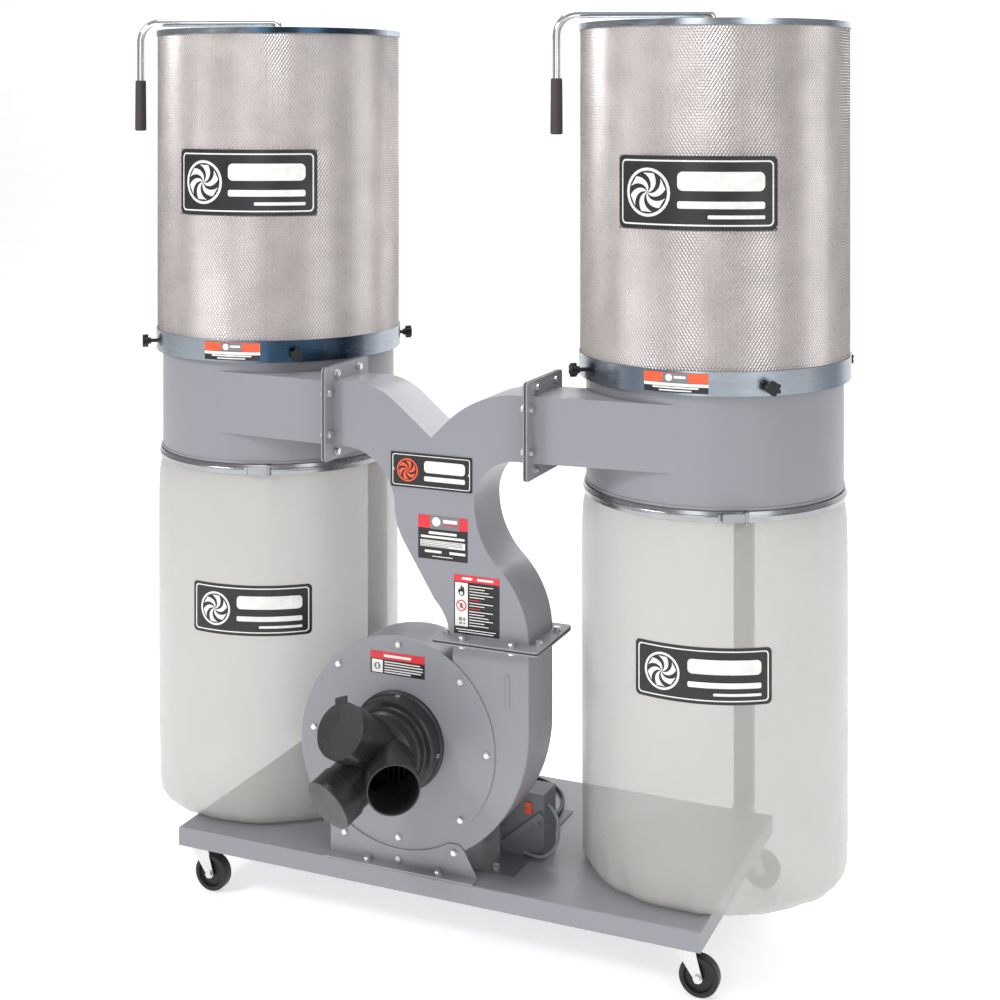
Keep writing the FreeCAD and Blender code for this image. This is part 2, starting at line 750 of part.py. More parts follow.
def y_duct():
    """Duct that rises from the blower and divides into two arms, with three flanges."""
    low = d.outlet_top + JOINT_GAP
    end, top, under = d.arm_end, d.arm_top, d.arm_bottom
    wall, depth = d.sheet, d.blower_depth
    turn, bend = 87.5, 215
    slope_x = d.notch_x + (top - d.notch_z) - bend * (1 - math.sqrt(0.5))
    sketch = doc.addObject("Sketcher::SketchObject", "duct_outline")
    sketch.Placement = Placement(Vector(), TO_FRONT)
    outline(sketch, [
        (outlet_right(), low, 192), (148, low + 145, -168), (98.5, under - turn, -turn),
        (98.5 + turn, under), (end, under), (end, top),
        (slope_x + bend * math.sqrt(0.5), top, bend),
        (slope_x, d.notch_z + slope_x - d.notch_x), (d.notch_x, d.notch_z),
        (-73, top - 29.5, 130), (-155.4, top), (-end, top), (-end, under), (-185, under, -111),
        (-73, under - 100, 140), (-52, under - 177), (14, low + 69, -105.6), (47, low)])
    lining = doc.addObject("Part::Offset2D", "duct_lining")
    lining.Source = sketch
    lining.Join = "Intersection"
    bind(lining, "Value", -wall)
    passage = place(extrusion(lining, depth - 2 * wall), y=-wall)
    deep, tall = depth - 2 * wall, top - under - 2 * wall
    mouths = [box(3 * wall, deep, tall, x, wall - depth, under + wall)
              for x in (end - 2 * wall, -end - wall)]
    mouths.append(box(outlet_right() - 47 - 2 * wall, deep, 3 * wall, 47 + wall, wall - depth,
                      low - wall))
    shell = cut(extrusion(sketch, depth), passage, *mouths)
    place(shell, y=d.blower_front + depth)
    rims = [outlet_flange(d.plate, low)]
    for side in (-1, 1):
        rims.append(arm_flange(side, d.arm_end - d.plate))
    return keep(fuse(shell, *rims), "y_duct")


def arm_flange(side, distance, thickness=None):
    """Flange across an arm's end; it spans from the distance outward."""
    front, back = d.blower_front, d.blower_front + d.blower_depth
    thickness = thickness or d.plate
    body = flange(d.arm_bottom, d.arm_top, front, back, d.flange_rim, thickness, d.sheet)
    return place(body, distance + thickness if side > 0 else -distance, 0, 0, TO_LEFT)


def flange_gaskets():
    """Rubber gaskets in the duct's three joints."""
    pieces = [outlet_flange(JOINT_GAP, d.outlet_top)]
    for side in (-1, 1):
        pieces.append(arm_flange(side, d.arm_end, JOINT_GAP))
    return pieces


def flange_bolts():
    """Bolts with nuts through the duct's three joints."""
    front, back = d.blower_front, d.blower_front + d.blower_depth
    spots = []
    for x, y in flange_spots(d.outlet_left, outlet_right(), front, back, d.flange_rim):
        spots.append((x, y, d.outlet_top + JOINT_GAP + d.plate, None))
    for side in (-1, 1):
        for z, y in flange_spots(d.arm_bottom, d.arm_top, front, back, d.flange_rim):
            spots.append((side * (d.arm_end - d.plate), y, z, TO_LEFT if side > 0 else TO_RIGHT))
    return set_of(hex_bolt(M8, d.plate * 2 + JOINT_GAP), spots)


SIDES = (("left", -1), ("right", 1))


def drum(name, side):
    """Collar between bag and canister, with the rectangular inlet that runs in tangentially."""
    start = d.arm_end + JOINT_GAP
    front, back = d.blower_front, d.blower_front + d.blower_depth
    nose = d.drum_y - d.drum_radius
    height = d.drum_top - d.drum_bottom + d.clamp_height
    base = d.drum_bottom - d.clamp_height

    def inlet(inset, lead):
        body = new_body()
        pad(outline(new_sketch(body, "XY_Plane"), [
            (side * (start - lead), front + inset), (side * d.drum_x, nose + inset),
            (side * d.drum_x, nose + d.blower_depth - inset), (side * (start - lead), back - inset)]),
            d.arm_top - d.arm_bottom - 2 * inset)
        return place(body, z=d.arm_bottom + inset)

    centre = (side * d.drum_x, d.drum_y)
    bead = doc.addObject("Part::Torus", "bead")
    bind(bead, "Radius1", d.drum_radius - 0.5)
    bead.Radius2 = 3
    place(bead, *centre, d.drum_bottom)
    rim = arm_flange(side, start)
    outer = fuse(cylinder(d.drum_radius, height, *centre, base), bead, inlet(0, 0), rim)
    inner_radius = d.drum_radius - d.sheet
    inner = fuse(cylinder(inner_radius, height + 20, *centre, base - 10), inlet(d.sheet, 10))
    return keep(cut(outer, inner), name + "_drum")


POSTS = (-395, 486)


def support_posts():
    """Channel posts behind the drums, each with a foot on the tray's rear skirt and a top arm."""
    posts = []
    for (name, side), x in zip(SIDES, POSTS):
        near = d.drum_y + d.drum_radius + 12
        skirt = d.base_width / 2
        height = 830
        post = box(41, 20, height, x - 20.5, near, d.base_top - d.skirt_depth + 4)
        foot = box(41, near - skirt + 20, 30, x - 20.5, skirt, d.base_top - d.skirt_depth + 4)
        arm = box(34, near - d.drum_y, 40, x - 17, d.drum_y, d.drum_bottom + 18)
        drum_space = cylinder(d.drum_radius, 400, side * d.drum_x, d.drum_y, d.drum_bottom - 50)
        posts.append(cut(fuse(post, foot, arm), drum_space))
    return keep(group(posts), "support_posts")


# ---------------------------------------------------------------- canisters

def at_drums(item, z):
    """The same piece, built about its own axis, at both drums."""
    return set_of(item, [(side * d.drum_x, d.drum_y, z, None) for name, side in SIDES])


def knob_angles():
    return [d.knob_angle + 90 * index for index in range(4)]


LIP = 33


def lower_rings():
    """Canister ring: a band with an inner lip, four knob nuts and the crank's lower bearing."""
    outer, wall = d.ring_radius, 1.5
    band = revolve([
        (outer - wall, 0), (outer, 0), (outer, d.ring_height), (outer - wall, d.ring_height),
        (outer - wall, LIP + wall), (d.media_inner, LIP + wall), (d.media_inner, LIP),
        (outer - wall, LIP)])
    bar = box(2 * d.media_inner + 6, 24, 3, -d.media_inner - 3, -12, LIP - 1.5)
    hub = cylinder(14, 16, z=LIP - 1.5)
    height = d.knob_height - d.ring_bottom
    nuts = [cylinder(8, 7, *polar(d.ring_radius - 8, angle), height, toward(angle))
            for angle in knob_angles()]
    bore = cylinder(d.rod_radius + d.running_gap, 60, z=LIP - 20)
    threads = [cylinder(4 + d.running_gap, 30, *polar(d.drum_radius - 2, angle), height,
                        toward(angle)) for angle in knob_angles()]
    return keep(group(at_drums(cut(fuse(band, bar, hub, *nuts), bore, *threads), d.ring_bottom)),
                "lower_rings")


def canister_gaskets():
    """Foam seals between the drums' upper edges and the canister rings."""
    thickness = d.ring_bottom + LIP - d.drum_top
    seal = revolve([(d.drum_radius - 12, 0), (d.drum_radius, 0), (d.drum_radius, thickness),
                    (d.drum_radius - 12, thickness)])
    return at_drums(seal, d.drum_top)


def gaskets():
    return keep(group(flange_gaskets() + canister_gaskets()), "gaskets")


def filter_media():
    """Pleated media as the plain ring of space that it fills."""
    low = d.ring_bottom + LIP + 1.5
    height = d.canister_top - 3 - low
    ring = revolve([(d.media_inner, 0), (d.media_outer, 0), (d.media_outer, height),
                    (d.media_inner, height)])
    return keep(group(at_drums(ring, low)), "filter_media")


def mesh_guards():
    """Expanded-metal guard round the media, as a thin sleeve."""
    low = d.ring_bottom + LIP + 2
    outer = d.ring_radius - 2
    height = d.canister_top - 4 - low
    sleeve = revolve([(outer - 1.5, 0), (outer, 0), (outer, height), (outer - 1.5, height)])
    return keep(group(at_drums(sleeve, low)), "mesh_guards")


def top_caps():
    """Canister lid with a rolled rim and a hole for the crank's bush."""
    outer, wall, rim = d.ring_radius, 1.5, d.cap_rim
    cap = revolve([
        (outer - wall, 0), (outer, 0), (outer, rim), (outer - 5, rim), (outer - 5, rim - wall),
        (14, rim - wall), (14, rim - 2 * wall), (outer - wall, rim - 2 * wall)])
    return keep(group(at_drums(cap, d.canister_top - rim)), "top_caps")


def crank_bushes():
    """Flanged bronze bushes in the lids."""
    bore = d.rod_radius + d.running_gap
    bush = revolve([(bore, -7), (14, -7), (14, 0), (20, 0), (20, 4), (bore, 4)])
    return at_drums(bush, d.canister_top - 1.5)


def crank(name, side):
    """Bent rod with the cleaning paddles that sweep the inside of the media."""
    radius, bend, hub_bend = d.rod_radius, d.crank_bend, 14
    low = d.ring_bottom + LIP
    height = d.crank_height
    pieces = [
        cylinder(radius, height - hub_bend - low, z=low),
        elbow(hub_bend, radius, hub_bend, 0, height - hub_bend,
              Rotation(Vector(0, 1, 0), -90).multiply(TO_FRONT)),
        cylinder(radius, d.crank_reach - bend - hub_bend, hub_bend, 0, height, TO_RIGHT),
        elbow(bend, radius, d.crank_reach - bend, 0, height - bend, TO_FRONT),
        cylinder(radius, d.crank_leg + 90, d.crank_reach, 0, height - bend - d.crank_leg - 90),
    ]
    paddle_reach = d.media_inner - 12
    for level in (low + 70, d.canister_top - 70):
        pieces.append(cylinder(5, 2 * paddle_reach, -paddle_reach, 0, level, TO_RIGHT))
    for x in (-paddle_reach - 6, paddle_reach):
        pieces.append(box(6, 3, d.canister_top - low - 100, x, -1.5, low + 50))
    return keep(fuse(*pieces), name + "_crank", side * d.drum_x, d.drum_y, 0,
                Rotation(Vector(0, 0, 1), number_of(d.crank_angle)))


def crank_grip(name, side):
    """Moulded sleeve over the end of the crank's leg."""
    radius, length = d.grip_radius, d.grip_length
    body = revolve([
        (0, 0), (radius - 4, 0, 4), (radius, 4), (radius - 0.8, length - 2), (radius - 2, length),
        (d.rod_radius, length), (d.rod_radius, length - 90), (0, length - 90)])
    x, y = polar(d.crank_reach, d.crank_angle)
    z = d.crank_height - d.crank_bend - d.crank_leg - length
    return keep(body, name + "_grip", side * d.drum_x + x, d.drum_y + y, z)


def knob(name, side, index):
    """Star knob on a threaded stem that clamps the canister ring to the drum."""
    head, lobe_ring = 12, 9.5
    body = new_body()
    pad(circle(new_sketch(body, "XY_Plane"), 0, 0, lobe_ring), head)
    lobes = []
    for lobe in range(6):
        x, y = polar(lobe_ring, lobe * 60)
        lobes.append(cylinder(4.2, head, x, y))
    reach = d.knob_reach - d.drum_radius - head
    stem = cylinder(4, reach - d.body_gap, z=-(reach - d.body_gap))
    collar = cylinder(7, 6, z=-6)
    angle = d.knob_angle + 90 * index
    x, y = polar(d.knob_reach - head, angle)
    return keep(fuse(body, *lobes, stem, collar), "%s_knob_%d" % (name, index + 1),
                side * d.drum_x + x, d.drum_y + y, d.knob_height, toward(angle))


# ---------------------------------------------------------------- bags and their clamps

def dust_bag(name, side):
    """Clear bag, as a thin closed shell with its mouth round the drum's lower edge."""
    radius, wall, corner = d.bag_radius, d.bag_wall, d.bag_corner
    mouth = d.drum_radius + 0.1
    top = d.drum_bottom - d.base_top - 3
    tuck = d.drum_bottom - d.clamp_height - d.base_top - 6
    shoulder = tuck - 34
    body = revolve([
        (0, 0), (radius - corner, 0, corner), (radius, corner), (radius, shoulder),
        (mouth + wall, tuck), (mouth + wall, top), (mouth, top), (mouth, tuck),
        (radius - wall, shoulder), (radius - wall, corner, wall - corner),
        (radius - corner, wall), (0, wall)])
    return keep(body, name + "_dust_bag", side * d.drum_x, d.drum_y, d.base_top)


LATCHES = (("left", -1, -64), ("right", 1, -61))


def bag_clamps():
    """Steel bands round the bags' mouths, each with the two ears and pin of its latch."""
    inner = d.drum_radius + d.bag_wall + 0.2
    outer = inner + 2
    height = d.clamp_height - 4
    bands = []
    for name, side, angle in LATCHES:
        band = revolve([(inner, 0), (outer, 0), (outer + 1.2, height / 2 - 3, 5),
                        (outer + 1.2, height / 2 + 3), (outer, height), (inner, height)])
        ears = [box(12, 8, 2.5, outer - 1.5, -4, z) for z in (-1, height - 1.5)]
        pin = cylinder(2, height + 2, outer + 6, 0, -1)
        hook = box(6, 8, 12, outer - 4, -52, height / 2 - 6)
        shape = fuse(band, *ears, pin, hook)
        turn = Rotation(Vector(0, 0, 1), angle)
        bands.append(place(shape, side * d.drum_x, d.drum_y, d.drum_bottom - d.clamp_height, turn))
    return keep(group(bands), "bag_clamps")


def clamp_latch(name, side, angle):
    """Over-centre lever that pulls the band tight; it swings on the band's pin."""
    height = d.clamp_height - 4
    inside = height - 3.8
    lever = box(2, 44, inside, -1, -44, 0)
    lip = box(7, 2, inside, -1, -46, 0)
    barrel = cylinder(3.4, inside)
    bore = cylinder(2 + d.running_gap, height, z=-1)
    pivot = d.drum_radius + d.bag_wall + 0.2 + 2 + 6
    x, y = polar(pivot, angle)
    return keep(cut(fuse(lever, lip, barrel), bore), name + "_latch", side * d.drum_x + x,
                d.drum_y + y, d.drum_bottom - d.clamp_height + 1.9, Rotation(Vector(0, 0, 1), angle))


# ---------------------------------------------------------------- motor and rotor

def motor_face():
    """The casing's back, where the motor's front bell is bolted."""
    return d.blower_front + d.blower_depth


def about_shaft(item, label, distance):
    """Keep a piece built about its own Z axis on the blower axis, behind the casing."""
    return keep(item, label, d.blower_x, motor_face() + distance, d.blower_z, TO_BACK)


BELL = 34


def motor_body():
    """Finned motor shell with two feet on the stand."""
    radius = d.motor_radius - 10
    length = d.motor_length - 2 * BELL
    shell = revolve([(54, 0), (radius, 0), (radius, length), (54, length)])
    fins = []
    for index in range(30):
        angle = index * 12
        if 60 <= angle <= 120:
            continue
        fins.append(box(11, 2.6, length - 8, *polar(radius - 1, angle), 4,
                        Rotation(Vector(0, 0, 1), angle)))
    drop = d.blower_z - d.stand_top
    feet = [box(34, 12, length - 60, x, drop - 12, 30) for x in (-96, 62)]
    webs = [box(12, 62, length - 60, x, drop - 64, 30) for x in (-74, 62)]
    return about_shaft(fuse(shell, *fins, *feet, *webs), "motor_body", BELL)


def motor_end_bells():
    """Cast end bells that carry the bearings."""
    seat, edge = 26, d.motor_radius - 4
    front = revolve([(seat, 0), (edge, 0), (edge, BELL), (edge - 6, BELL), (edge - 6, 8),
                     (seat + 8, 8), (seat + 8, 24), (seat, 24)])
    rear = revolve([(seat, -24), (seat + 8, -24), (seat + 8, -8), (edge - 6, -8),
                    (edge - 6, -BELL), (edge, -BELL), (edge, -4), (edge - 4, 0), (seat, 0)])
    place(rear, z=d.motor_length)
    return about_shaft(group([front, rear]), "motor_end_bells", 0)


def motor_bearings():
    """Ball bearings in the bells' seats, as plain rings."""
    bore = d.shaft_radius + d.running_gap
    ring = revolve([(bore, 0), (26, 0), (26, 15), (bore, 15)])
    front = motor_face()
    return set_of(ring, [(d.blower_x, front + along_shaft, d.blower_z, TO_BACK)
                         for along_shaft in (6, d.motor_length - 21)])


def bearings():
    return keep(group(motor_bearings() + crank_bushes()), "bearings")


FAN_COVER = 52


def fan_cover():
    """Sheet cowl over the cooling fan, with a ring of air slots in its end."""
    radius = d.motor_radius
    cowl = revolve([
        (radius - 1.5, 0), (radius, 0), (radius, FAN_COVER - 12, 12), (radius - 12, FAN_COVER),
        (0, FAN_COVER), (0, FAN_COVER - 1.5), (radius - 12, FAN_COVER - 1.5, -10.5),
        (radius - 1.5, FAN_COVER - 12)])
    slots = []
    for index in range(18):
        angle = index * 20
        slots.append(box(38, 5, 10, *polar(28, angle), FAN_COVER - 5,
                         Rotation(Vector(0, 0, 1), angle)))
    return about_shaft(cut(cowl, *slots), "fan_cover", d.motor_length - 8)


def motor_shaft():
    """Shaft with the rotor core; it carries the impeller in front and the fan behind."""
    radius = d.shaft_radius
    front = -96
    back = d.motor_length + 32
    core_front, core_back = 62, d.motor_length - 62
    shaft = revolve([
        (0, front), (radius - 1, front), (radius, front + 1), (radius, core_front),
        (50, core_front), (50, core_back), (radius, core_back), (radius, back), (0, back)])
    return about_shaft(shaft, "motor_shaft", 0)


def impeller():
    """Open radial impeller: hub, back plate and eight straight blades."""
    radius, blade_depth, gap = 162, 74, 12
    hub = cylinder(30, 84, z=-gap - 84)
    plate = cylinder(radius, 4, z=-gap - 4)
    blades = []
    for index in range(8):
        angle = index * 45
        blades.append(box(radius - 30, 3, blade_depth, *polar(28, angle), -gap - blade_depth,
                          Rotation(Vector(0, 0, 1), angle)))
    bore = cylinder(d.shaft_radius, 200, z=-150)
    return about_shaft(cut(fuse(hub, plate, *blades), bore), "impeller", 0)


def cooling_fan():
    """Plastic fan on the shaft's rear end."""
    hub = cylinder(22, 24, z=6)
    disc = cylinder(74, 2.5, z=6)
    blades = [box(54, 2.5, 22, *polar(20, angle), 8, Rotation(Vector(0, 0, 1), angle))
              for angle in range(0, 360, 45)]
    bore = cylinder(d.shaft_radius, 60, z=-10)
    return about_shaft(cut(fuse(hub, disc, *blades), bore), "cooling_fan", d.motor_length)


def motor_stand():
    """Welded stand: a plate on the tray, two cheeks and the top that the motor's feet sit on."""
    floor = d.base_top
    sheet_metal = d.plate
    left, right = d.blower_x - 105, d.blower_x + 105
    back, front = 116, -62
    plate = box(right - left + 152, 322, sheet_metal, left - 28, -206, floor)
    height = d.stand_top - floor
    cheeks = [box(sheet_metal, back - front, height, x, front, floor)
              for x in (left, right - sheet_metal)]
    top = box(right - left, back - front, sheet_metal, left, front, d.stand_top - sheet_metal)
    apron = box(right - left, sheet_metal, 60, left, front, d.stand_top - 60)
    stand = fuse(plate, top, apron, *cheeks)
    holes = [cylinder(4.2, 20, x, y, floor - 5) for x, y in STAND_BOLTS]
    return keep(cut(stand, *holes), "motor_stand")


def base_bolts():
    """Bolts with nuts that hold the foot and the stand to the tray."""
    z = d.base_top + d.plate
    spots = [(x, FOOT_BOLT_Y, z, None) for x in FOOT_BOLT_X]
    spots += [(x, y, z, None) for x, y in STAND_BOLTS]
    return set_of(hex_bolt(M8, d.plate * 2), spots)


def machine_bolts():
    return keep(group(base_bolts() + flange_bolts()), "machine_bolts")


def motor_boxes():
    """Domed capacitor cover on the motor's shoulder and terminal box on its other side."""
    radius = d.motor_radius
    length = d.motor_length
    capacitor = fuse(cylinder(27, 120, 0, radius + 28, 60), box(44, 26, 120, -22, radius, 60))
    terminal = box(58, 26, 78, -29, 0, 0)
    tilt = 38
    place(capacitor, rotation=Rotation(Vector(0, 0, 1), 180 + tilt))
    x, y = polar(radius + 1, 270 + tilt - 76)
    place(terminal, x, y, length - 150, Rotation(Vector(0, 0, 1), 180 - tilt))
    return about_shaft(group([capacitor, terminal]), "motor_boxes", 0)


# ---------------------------------------------------------------- switch, leads and cord

SWITCH_LEFT, SWITCH_RIGHT = 98, 192
SWITCH_FRONT, SWITCH_BACK = -112, -48
SWITCH_TOP = 262
ROCKER_X, ROCKER_Z = 160, 233


def switch_box():
    """Folded steel box on the stand, with its cover screws and a stiffening bar in front."""
    floor = d.base_top + d.plate
    height = SWITCH_TOP - floor
    width, depth = SWITCH_RIGHT - SWITCH_LEFT, SWITCH_BACK - SWITCH_FRONT
    case = box(width, depth, height, SWITCH_LEFT, SWITCH_FRONT, floor)
    inside = box(width - 4, depth - 4, height - 4, SWITCH_LEFT + 2, SWITCH_FRONT + 2, floor + 2)
    window = box(15, 10, 23, ROCKER_X - 7.5, SWITCH_FRONT - 5, ROCKER_Z - 11.5)
    bar = box(112, 8, 13, SWITCH_LEFT + 10, SWITCH_FRONT - 8, 148, Rotation(Vector(0, 1, 0), -40))
    screws = [fuse(cylinder(5.5, 2, x, SWITCH_FRONT, z, TO_FRONT),
                   cylinder(4, 6, x, SWITCH_FRONT, z, TO_FRONT))
              for x, z in ((180, 204), (106, 186), (112, 150))]
    return keep(fuse(cut(case, inside, window), bar, *screws), "switch_box")


def switch_rocker():
    """Rocker of the switch on its cross pin; its face stands tilted out of the window."""
    body = new_body()
    pad(outline(new_sketch(body, "YZ_Plane", -7), [
        (-6, -10), (0, -11), (6, -8), (6, 8), (0, 11), (-3, 10.5), (-2.5, 0)]), 14)
    return keep(body, "switch_rocker", ROCKER_X, SWITCH_FRONT, ROCKER_Z)


def tube(route, radius):
    """A round cord along straight runs joined by tangent arcs as large as the runs allow."""
    points = [Vector(*point) for point in route]
    edges, start = [], points[0]
    radii = []
    for before, corner, after in zip(points, points[1:], points[2:]):
        along_in, along_out = (corner - before).normalize(), (after - corner).normalize()
        shorter = min((corner - before).Length, (after - corner).Length)
        turn = along_in.getAngle(along_out)
        setback = 0.45 * shorter
        bend = setback / math.tan(turn / 2)
        radii.append(bend)
        enter, leave = corner - along_in * setback, corner + along_out * setback
        inward = (along_out - along_in).normalize()
        middle = corner + inward * (bend / math.cos(turn / 2) - bend)
        edges.append(Part.LineSegment(start, enter).toShape())
        edges.append(Part.Arc(enter, middle, leave).toShape())
        start = leave
    edges.append(Part.LineSegment(start, points[-1]).toShape())
    path = Part.Wire(edges)
    direction = points[1] - points[0]
    section = Part.Wire([Part.Circle(points[0], direction, radius).toShape()])
    solid = path.makePipeShell([section], True, False)
    length = path.Length
    print("tube: length %.0f, smallest radius %.0f, volume against section x length %.4f"
          % (length, min(radii), solid.Volume / (math.pi * radius ** 2 * length)))
    item = doc.addObject("Part::Feature", "tube")
    item.Shape = solid
    return item


CORD_RADIUS, LEAD_RADIUS = 4, 3.25

LEAD_ROUTE = (
    (192, -90, 236), (212, -96, 224), (222, -105, 198), (221, -116, 171), (206, -126, 151),
    (180, -128, 144), (150, -113, 144))

CORD_ROUTE = (
    (150, -18, 170), (150, 16, 168), (149, 52, 152), (147, 92, 143), (138, 132, 142.6),
    (124, 172, 139.6), (96, 210, 139.3), (54, 236, 139.3), (5, 247, 139.3), (-44, 246, 139.2))

COIL_CENTRE = (-62, 190)
COIL_INNER, COIL_OUTER, COIL_HEIGHT = 36, 60, 16
PLUG_RADIUS = 16


def motor_lead():
    return keep(tube(LEAD_ROUTE, LEAD_RADIUS), "motor_lead")


def power_cord():
    return keep(tube(CORD_ROUTE, CORD_RADIUS), "power_cord")


def cord_coil():
    """The put-away turns of the cord as one closed ring."""
    coil = revolve([(COIL_INNER, 0), (COIL_OUTER, 0), (COIL_OUTER, COIL_HEIGHT),
                    (COIL_INNER, COIL_HEIGHT)])
    return keep(coil, "cord_coil", *COIL_CENTRE, d.base_top)


def strain_relief():
    """Tapered sleeve where the cord leaves the switch box."""
    x, y, z = CORD_ROUTE[0]
    length = 30
    sleeve = revolve([(CORD_RADIUS, 0), (9, 0), (9, 4), (7.5, 5), (5.5, length),
                      (CORD_RADIUS, length)])
    return keep(sleeve, "strain_relief", x, y - length, z, TO_BACK)


def plug():
    """Moulded plug with two flat blades and an earth pin, lying on the coil."""
    length = 40
    grip = revolve([(0, 0), (6, 0), (8, 8), (13, 16), (PLUG_RADIUS, 30), (PLUG_RADIUS, length),
                    (0, length)])
    blades = [box(6.4, 1.5, 18, -3.2, y - 0.75, length) for y in (-6.3, 6.3)]
    earth = cylinder(2.4, 21, 8, 0, length)
    x, y = COIL_CENTRE
    return keep(fuse(grip, *blades, earth), "plug", x - 18, y - (COIL_INNER + COIL_OUTER) / 2,
                d.base_top + COIL_HEIGHT + PLUG_RADIUS, TO_RIGHT)


# ---------------------------------------------------------------- the whole machine

def build():
    base_plate()
    caster_mounts()
    for corner in CORNERS:
        caster_fork(*corner)
        caster_wheel(*corner)
    front_foot()
    motor_stand()
    machine_bolts()
    blower_housing()
    housing_cover()
    housing_fasteners()
    inlet_adapter()
    for name, direction in PORTS[:2]:
        port_cap(name, direction)
    y_duct()
    gaskets()
    for name, side in SIDES:
        drum(name, side)
        dust_bag(name, side)
        crank(name, side)
        crank_grip(name, side)
        for index in range(4):
            knob(name, side, index)
    support_posts()
    for piece in (lower_rings, filter_media, mesh_guards, top_caps, bearings, bag_clamps):
        piece()
    for latch in LATCHES:
        clamp_latch(*latch)
    for piece in (motor_body, motor_end_bells, fan_cover, motor_boxes, motor_shaft, impeller,
                  cooling_fan, switch_box, switch_rocker, motor_lead, power_cord, cord_coil,
                  strain_relief, plug):
        piece()


def check():
    """Stop if any object failed or any sub-part has no valid shape."""
    doc.recompute()
    for item in doc.Objects:
        if "Invalid" in item.State or "Error" in item.State:
            raise RuntimeError("%s (%s) is %s" % (item.Name, item.Label, item.State))
    for item in parts:
        if item.Shape.isNull() or not item.Shape.isValid() or not item.Shape.Solids:
            raise RuntimeError("%s has no valid shape" % item.Label)


def write():
    os.makedirs("parts", exist_ok=True)
    extent = FreeCAD.BoundBox()
    for item in parts:
        extent.add(item.Shape.optimalBoundingBox(False))
        item.Shape.exportStep("parts/%s.step" % item.Label)
    print("%d sub-parts, box %s" % (len(parts), extent))


build()
check()
write()
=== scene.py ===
"""Looks of the twin-canister dust collector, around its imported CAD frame.  Metres, +Z up."""

import json
import math

import bmesh
import bpy
from mathutils import Matrix, Vector, noise


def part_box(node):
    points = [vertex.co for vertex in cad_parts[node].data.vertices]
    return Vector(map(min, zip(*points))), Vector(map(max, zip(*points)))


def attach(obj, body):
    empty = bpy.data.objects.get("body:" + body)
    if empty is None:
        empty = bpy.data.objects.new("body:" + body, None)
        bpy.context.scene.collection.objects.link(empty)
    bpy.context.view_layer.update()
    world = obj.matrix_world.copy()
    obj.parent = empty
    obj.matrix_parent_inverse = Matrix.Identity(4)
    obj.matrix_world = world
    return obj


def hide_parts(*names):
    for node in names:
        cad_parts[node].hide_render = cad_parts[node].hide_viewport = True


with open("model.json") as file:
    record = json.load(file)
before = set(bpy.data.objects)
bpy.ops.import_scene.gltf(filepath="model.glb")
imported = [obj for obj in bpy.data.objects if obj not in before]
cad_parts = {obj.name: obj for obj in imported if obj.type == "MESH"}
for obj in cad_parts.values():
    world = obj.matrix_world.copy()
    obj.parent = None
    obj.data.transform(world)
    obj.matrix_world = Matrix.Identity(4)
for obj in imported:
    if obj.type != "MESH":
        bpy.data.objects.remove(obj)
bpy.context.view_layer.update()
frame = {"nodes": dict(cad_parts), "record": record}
nodes = frame["nodes"]
MM = 0.001
BAG_STANDS_PROUD = 4.5 * MM


# ---------------------------------------------------------------- places, from the frame

def middle(node):
    """Centre of a CAD node's box."""
    low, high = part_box(node)
    return (low + high) / 2


class Side:
    """One canister with its drum and bag: their common axis and where their labels face."""

    def __init__(self, name, turn, seed):
        self.name = name
        self.turn = turn
        self.seed = seed
        self.bag_low, self.bag_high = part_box(name + "_dust_bag")
        self.bag_widest = (self.bag_high.x - self.bag_low.x) / 2 + BAG_STANDS_PROUD
        lid = middle_of_half("top_caps", name)
        self.axis = Vector((lid.x, lid.y, 0))

    def point(self, angle, radius, z):
        """A point about the axis, at an angle in radians."""
        return self.axis + Vector((radius * math.cos(angle), radius * math.sin(angle), z))


def middle_of_half(node, side):
    """Centre of the left or right half of a node that holds one piece per canister."""
    sign = -1 if side == "left" else 1
    half = [v.co for v in nodes[node].data.vertices if v.co.x * sign > 0]
    low = Vector(min(co[i] for co in half) for i in range(3))
    high = Vector(max(co[i] for co in half) for i in range(3))
    return (low + high) / 2


SIDES = (Side("left", -76, 3.1), Side("right", -82, 8.7))

# origin of the part's source, which is the middle of the base on the floor
BASE = Vector((middle("base_plate").x, middle("base_plate").y, 0))


def machine(x, y, z):
    """A point from the middle of the base, in millimetres, to the row frame."""
    return BASE + Vector((x, y, z)) * MM


# ---------------------------------------------------------------- camera and light

def add_camera():
    """A level camera, so that upright edges stay parallel, with its view shifted down."""
    data = bpy.data.cameras.new("camera")
    camera = bpy.data.objects.new("camera", data)
    bpy.context.scene.collection.objects.link(camera)
    camera.location = machine(1406.5, -3169, 1637.5)
    camera.rotation_euler = (math.radians(90), 0, math.radians(23.18))
    data.sensor_width = 36
    data.lens = 59.9
    data.shift_y = -0.4004
    data.clip_end = 60
    bpy.context.scene.camera = camera


def add_light(name, place, target, size, power):
    """A soft white panel that faces a target."""
    data = bpy.data.lights.new(name, "AREA")
    data.shape = "RECTANGLE"
    data.size, data.size_y = size
    data.energy = power
    lamp = bpy.data.objects.new(name, data)
    bpy.context.scene.collection.objects.link(lamp)
    lamp.location = place
    lamp.rotation_euler = (Vector(target) - Vector(place)).to_track_quat("-Z", "Y").to_euler()


